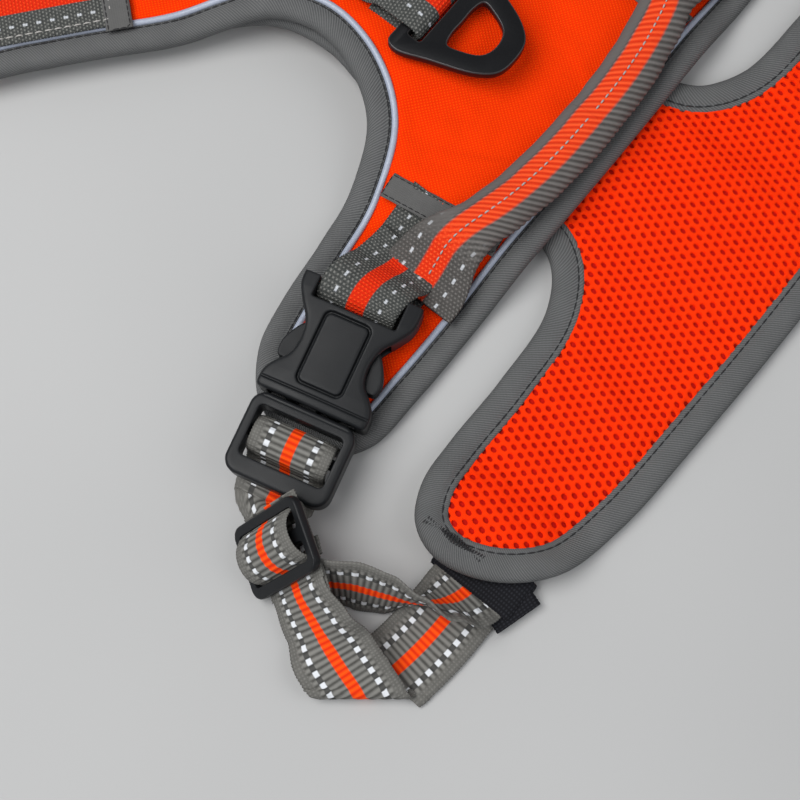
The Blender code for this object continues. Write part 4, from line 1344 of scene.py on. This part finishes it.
def build_buckle(side, word):
    """Socket, plug and prongs."""
    place = buckle_matrix(side)
    whole = SOCKET_HALF + [(x, -y) for x, y in reversed(SOCKET_HALF)]
    last = len(SOCKET_HALF) - 1
    outline = round_outline(whole, 4, (0, last, last + 1, 2 * last + 1))
    body = bevelled(outline_solid(outline, 0, 10.8), 1.5)
    cuts = [
        box_solid((-1.2, -13.2, -1), (6.0, 13.2, 14)),
        box_solid((-9, -13.2, 4.2), (-1.1, 13.2, 14)),
        box_solid((8.6, -13.6, 2.2), (38, 13.6, 8.6)),
        frame_solid(rounded_box(7.8, 31.0, 7.4, 2.4), rounded_box(8.7, 30.1, 6.5, 1.6), 9.6, 14),
        box_solid((32.6, -20, 10.1), (33.3, 20, 14)),
    ]
    for hand, reach in ((-side, -3.4), (side, -0.6)):
        low, high = sorted((12.0 * hand, 22.0 * hand))
        cuts.append(box_solid((-9, low, -2), (reach, high, 15)))
        cuts.append(outline_solid(round_outline([(x, y * hand) for x, y in THUMB_PAD], 5), 2.0, 8.8))
    tools = [("DIFFERENCE", cut) for cut in cuts]
    socket = moulded("buckle_socket_shell_" + word, body, tools, place, 0.28, 3, socket_crown)
    settle(socket, "root", "black_plastic", "buckle_socket_" + word)

    body = bevelled(outline_solid(rounded_box(0.35, 25.4, 16.2, 4.6, 8), -4.5, 4.9), 1.5)
    window = outline_solid(rounded_box(4.2, 19.8, 13.2, 1.6, 5), -9, 9)
    step = box_solid((1.5, -20, 4.3), (2.0, 20, 6))
    bar = bevelled(box_solid((10.2, -14.5, -1.6), (13.4, 14.5, 1.4)), 0.6)
    guide = box_solid((-20, -2, -1.4), (4.3, 2, 1.4))
    tools = [("DIFFERENCE", window), ("DIFFERENCE", step), ("UNION", bar), ("UNION", guide)]
    plug = moulded("buckle_plug_frame_" + word, body, tools, place @ PLUG_OFFSET, 0.3, 3)
    settle(plug, "plug_" + word, "black_plastic", "buckle_plug_" + word)

    for hand, letter in ((1, "a"), (-1, "b")):
        loop = round_outline([(x, y * hand) for x, y in PRONG], 4)
        body = bevelled(outline_solid(loop, -2.8, 2.8), 0.5, 60)
        end = f"{word}_{letter}"
        prong = moulded("buckle_prong_arm_" + end, body, [], place @ PRONG_OFFSET, 0.3, 2)
        settle(prong, "prong_" + end, "black_plastic", "buckle_prong_" + end)


def build_slider(name, body, place):
    """A three bar slider with rounded bars."""
    plate = bevelled(outline_solid(rounded_box(-11, 11, 15.6, 3.6, 8), -1.35, 1.35), 0.75)
    slots = [("DIFFERENCE", outline_solid(rounded_box(low, high, 13.1, 1.2, 4), -4, 4))
             for low, high in ((-8.0, -1.9), (1.9, 7.6))]
    piece = moulded(name + "_frame", plate, slots, place, 0.26, 3)
    settle(piece, body, "black_plastic", name)


# ------------------------------------------------------------- adjusting straps

def out_of(matrix, points, across, *mode):
    """Stations from points and an across direction of a placed frame."""
    turn = matrix.to_3x3()
    return [(tuple(matrix @ Vector(p)), tuple(turn @ Vector(across)), *mode) for p in points]


def beside_slider(side, x, z):
    """A point of the side slider's frame, as it lies on the left."""
    p = slider_matrix(side) @ Vector((x, 0, z))
    return -p.x * side, p.y, p.z


def blended_strap(name, stations, width, node, word, still, moving):
    """The adjusting strap between the chest plate and the plug, baked in place. The still and moving points
    are not used.
    """
    strap = strap_piece(name + word, stations, width, STRAP_THICK, "strap", RIBS, 0.4)
    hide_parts(node + word)
    to_frame(still)
    to_frame(moving)
    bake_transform(strap)


def build_side_straps(side, word):
    """The adjusting strap: plug, slider, fold, keeper and back."""
    place = slider_matrix(side)
    build_slider("side_slider_" + word, "side_slider_" + word, place)
    profile = [(-12.6, -2.4), (-9.6, -2.5), (-8.0, -1.6), (-7.0, 1.0), (-5.2, 3.2), (-2.4, 4.5), (0.8, 4.6),
               (3.6, 3.7), (5.7, 1.8), (6.7, -0.6), (7.9, -2.3), (10.2, -2.5), (12.8, -2.4)]
    hump = out_of(place, [(x, 0, z) for x, z in profile], (0, 1, 0))
    piece = strap_piece("slider_barrel_" + word, hump, WEBBING + 0.5, STRAP_THICK, "strap", RIBS)
    settle(piece, "side_slider_" + word, "strap_webbing", "slider_strap_" + word)

    plug_place = buckle_matrix(side) @ PLUG_OFFSET
    profile = [(6.7, -3.6), (6.9, -0.5), (8.0, 2.3), (10.2, 3.8), (12.2, 4.1), (14.2, 3.6), (16.2, 2.0),
               (17.0, -1.0), (17.2, -3.6), (18.6, -5.9), (22.0, -6.8), (25.8, -6.9)]
    stations = out_of(plug_place, [(x, 0, z) for x, z in profile], (0, 1, 0))
    lean = side * math.tan(math.radians(14))
    stations += out_of(plug_place, [(28.4, 0, -6.6)], (0, 1, -lean), "exact")
    near = out_of(place, [(-8.6, 0, -3.6), (-3.0, 0, -3.8), (5.0, 0, -3.8), (12.0, 0, -3.5), (17.0, 0, -3.2)],
                  (0, 1, 0), "exact")
    flip_near = Vector(near[0][1]).dot(Vector(stations[-1][1])) < 0
    near = [(c, tuple(-v for v in a) if flip_near else a, mode) for c, a, mode in near]
    piece = strap_piece("plug_barrel_" + word, stations + near, WEBBING - 0.4, STRAP_THICK, "strap", RIBS)
    settle(piece, "plug_" + word, "strap_webbing", "plug_strap_" + word)

    across = place.to_3x3() @ Vector((0, 1, 0))
    across = across if across.x * side < 0 else -across
    across = (-across.x * side, across.y, across.z)
    fold_line = Vector((0.63, -0.777, 0))
    outward = Vector((-0.777, -0.63, 0))
    stations = [(beside_slider(side, x, z), across) for x, z in ((12.2, -2.4), (15.3, -2.5))]
    stations += [((-165.2, -42.0, 10.4), (0.64, -0.335, 0.62)), ((-168.6, -51.0, 8.0), (0.82, -0.42, 0.18))]
    centre = Vector((-171.5, -60.5, 3.4))
    for k in range(7):
        angle = math.pi * k / 6
        spoke = outward * math.sin(angle) + Vector((0, 0, math.cos(angle)))
        point = centre + spoke * 2.2 + fold_line * (4.0 * k / 6)
        stations.append((tuple(point), tuple(fold_line), True))
    stations += [((-160.0, -66.0, 1.3), (0.2, -0.98, 0)), ((-148.0, -67.6, 1.3), (0.0, -1, 0)),
                 ((-135.0, -68.0, 1.85), (0.0, -1, 0)), ((-126.0, -68.0, 1.9), (0.0, -1, 0))]
    blended_strap("side_strap_run_", flipped(stations, side), WEBBING - 0.6, "side_strap_", word,
                  (128 * side, -68, 2), (168 * side, -44, 10))
    stations = [
        ((-124.0, -68.0, 3.35), (0.0, -1, 0)), ((-129.0, -68.0, 3.6), (0.0, -1, 0.04)),
        ((-134.0, -67.0, 5.4), (0.0, -0.97, 0.25)), ((-138.8, -64.0, 8.6), (0.05, -0.75, 0.66)),
        ((-142.8, -58.5, 10.6), (0.25, -0.4, 0.86)), ((-146.5, -51.0, 11.6), (0.48, -0.26, 0.82)),
        ((-150.0, -43.0, 11.8), (0.55, -0.28, 0.79)),
    ]
    stations += [(beside_slider(side, x, z), across) for x, z in ((9.0, -5.8), (1.0, -5.6))]
    blended_strap("return_strap_run_", flipped(stations, side), WEBBING - 0.8, "return_strap_", word,
                  (130 * side, -68, 2), (152 * side, -44, 14))

    profile = ((-54.5, 0.7), (-68.0, 0.5), (-81.0, 0.6), (-82.4, 2.4), (-81.0, 4.4), (-68.0, 4.7),
               (-54.5, 4.6))
    band = [((-123.4, y, z), (1, 0, 0)) for y, z in profile]
    loop = strap_piece("keeper_band_" + word, flipped(band, side), 13.6, 0.8, "black_webbing", BLACK_RIBS,
                       0.5, 18)
    settle(loop, "root", "black_webbing", "strap_keeper_" + word)
    tail = [(p, (1, -0.29, 0)) for p in ((-124.6, -75.0, 3.4), (-125.8, -79.5, 3.3), (-127.2, -84.2, 2.6))]
    flap = strap_piece("keeper_tail_" + word, flipped(tail, side), 15.0, 1.9, "black_webbing", BLACK_RIBS,
                       0.5, 18)
    settle(flap, "root", "black_webbing")


# ------------------------------------------------------------- the object

build_back_panel()
build_chest_plate()
build_ring_webbing()
build_ring("leash_ring", LEASH_RING_THICK)
build_ring("chest_ring", CHEST_RING_THICK)
build_handle()
for which, word in SIDES:
    build_ribbons(which, word)
    build_side_webbing(which, word)
    build_neck_webbing(which, word)
    build_buckle(which, word)
    build_side_straps(which, word)
    yaw = math.degrees(math.atan2(NECK_DIRECTION.y, NECK_DIRECTION.x * -which))
    at = NECK_LOBE + NECK_DIRECTION * NECK_SLIDER_OUT
    at = (at.x * -which, at.y, BACK_TOP + BACK_BASE + 3.55)
    build_slider("neck_slider_" + word, "neck_slider_" + word, frame_matrix(at, 0, 0, yaw))


# ------------------------------------------------------------- floor, light and camera, in metres

LIT_PLACE = Vector((-0.09, -0.05, 0.0))
CAMERA_PLACE = Vector((-0.1772, -0.14273, 0.4075))
SEEN_PLACE = Vector((-0.09825, -0.07876, 0.0))


def softbox(name, at, size, power, colour):
    """A round area light aimed at the buckle."""
    data = bpy.data.lights.new(name, "AREA")
    data.shape = "DISK"
    data.size = size
    data.energy = power
    data.color = colour
    light = bpy.data.objects.new(name, data)
    bpy.context.scene.collection.objects.link(light)
    light.location = at
    light.rotation_euler = (LIT_PLACE - Vector(at)).to_track_quat("-Z", "Y").to_euler()


def build_studio():
    """A pale floor, a large soft light above and the camera."""
    bm = bmesh.new()
    bmesh.ops.create_grid(bm, x_segments=1, y_segments=1, size=3.0)
    mesh = bpy.data.meshes.new("floor")
    bm.to_mesh(mesh)
    bm.free()
    floor = bpy.data.objects.new("floor", mesh)
    bpy.context.scene.collection.objects.link(floor)
    floor.location.z = -0.0002
    mesh.materials.append(plain("floor_paper", (0.515, 0.515, 0.512), 0.7, 0.0, 0.004))

    softbox("softbox_above", (-0.35, 0.30, 0.95), 0.75, 9.0, (1.0, 0.995, 0.985))
    softbox("softbox_side", (-0.95, -0.1, 0.7), 0.6, 2.6, (0.97, 0.985, 1.0))
    softbox("softbox_front", (0.3, -0.8, 0.8), 0.9, 2.6, (1.0, 1.0, 1.0))
    bpy.context.scene.view_settings.view_transform = "Standard"
    world = bpy.data.worlds.new("studio")
    world.use_nodes = True
    sky = world.node_tree.nodes["Background"]
    sky.inputs["Color"].default_value = (0.92, 0.95, 1.0, 1)
    sky.inputs["Strength"].default_value = 0.34
    bpy.context.scene.world = world

    data = bpy.data.cameras.new("camera")
    data.lens = 63.8
    data.sensor_width = 36.0
    data.clip_start = 0.01
    camera = bpy.data.objects.new("camera", data)
    bpy.context.scene.collection.objects.link(camera)
    camera.location = CAMERA_PLACE
    camera.rotation_euler = (SEEN_PLACE - CAMERA_PLACE).to_track_quat("-Z", "Y").to_euler()
    bpy.context.scene.camera = camera


build_studio()
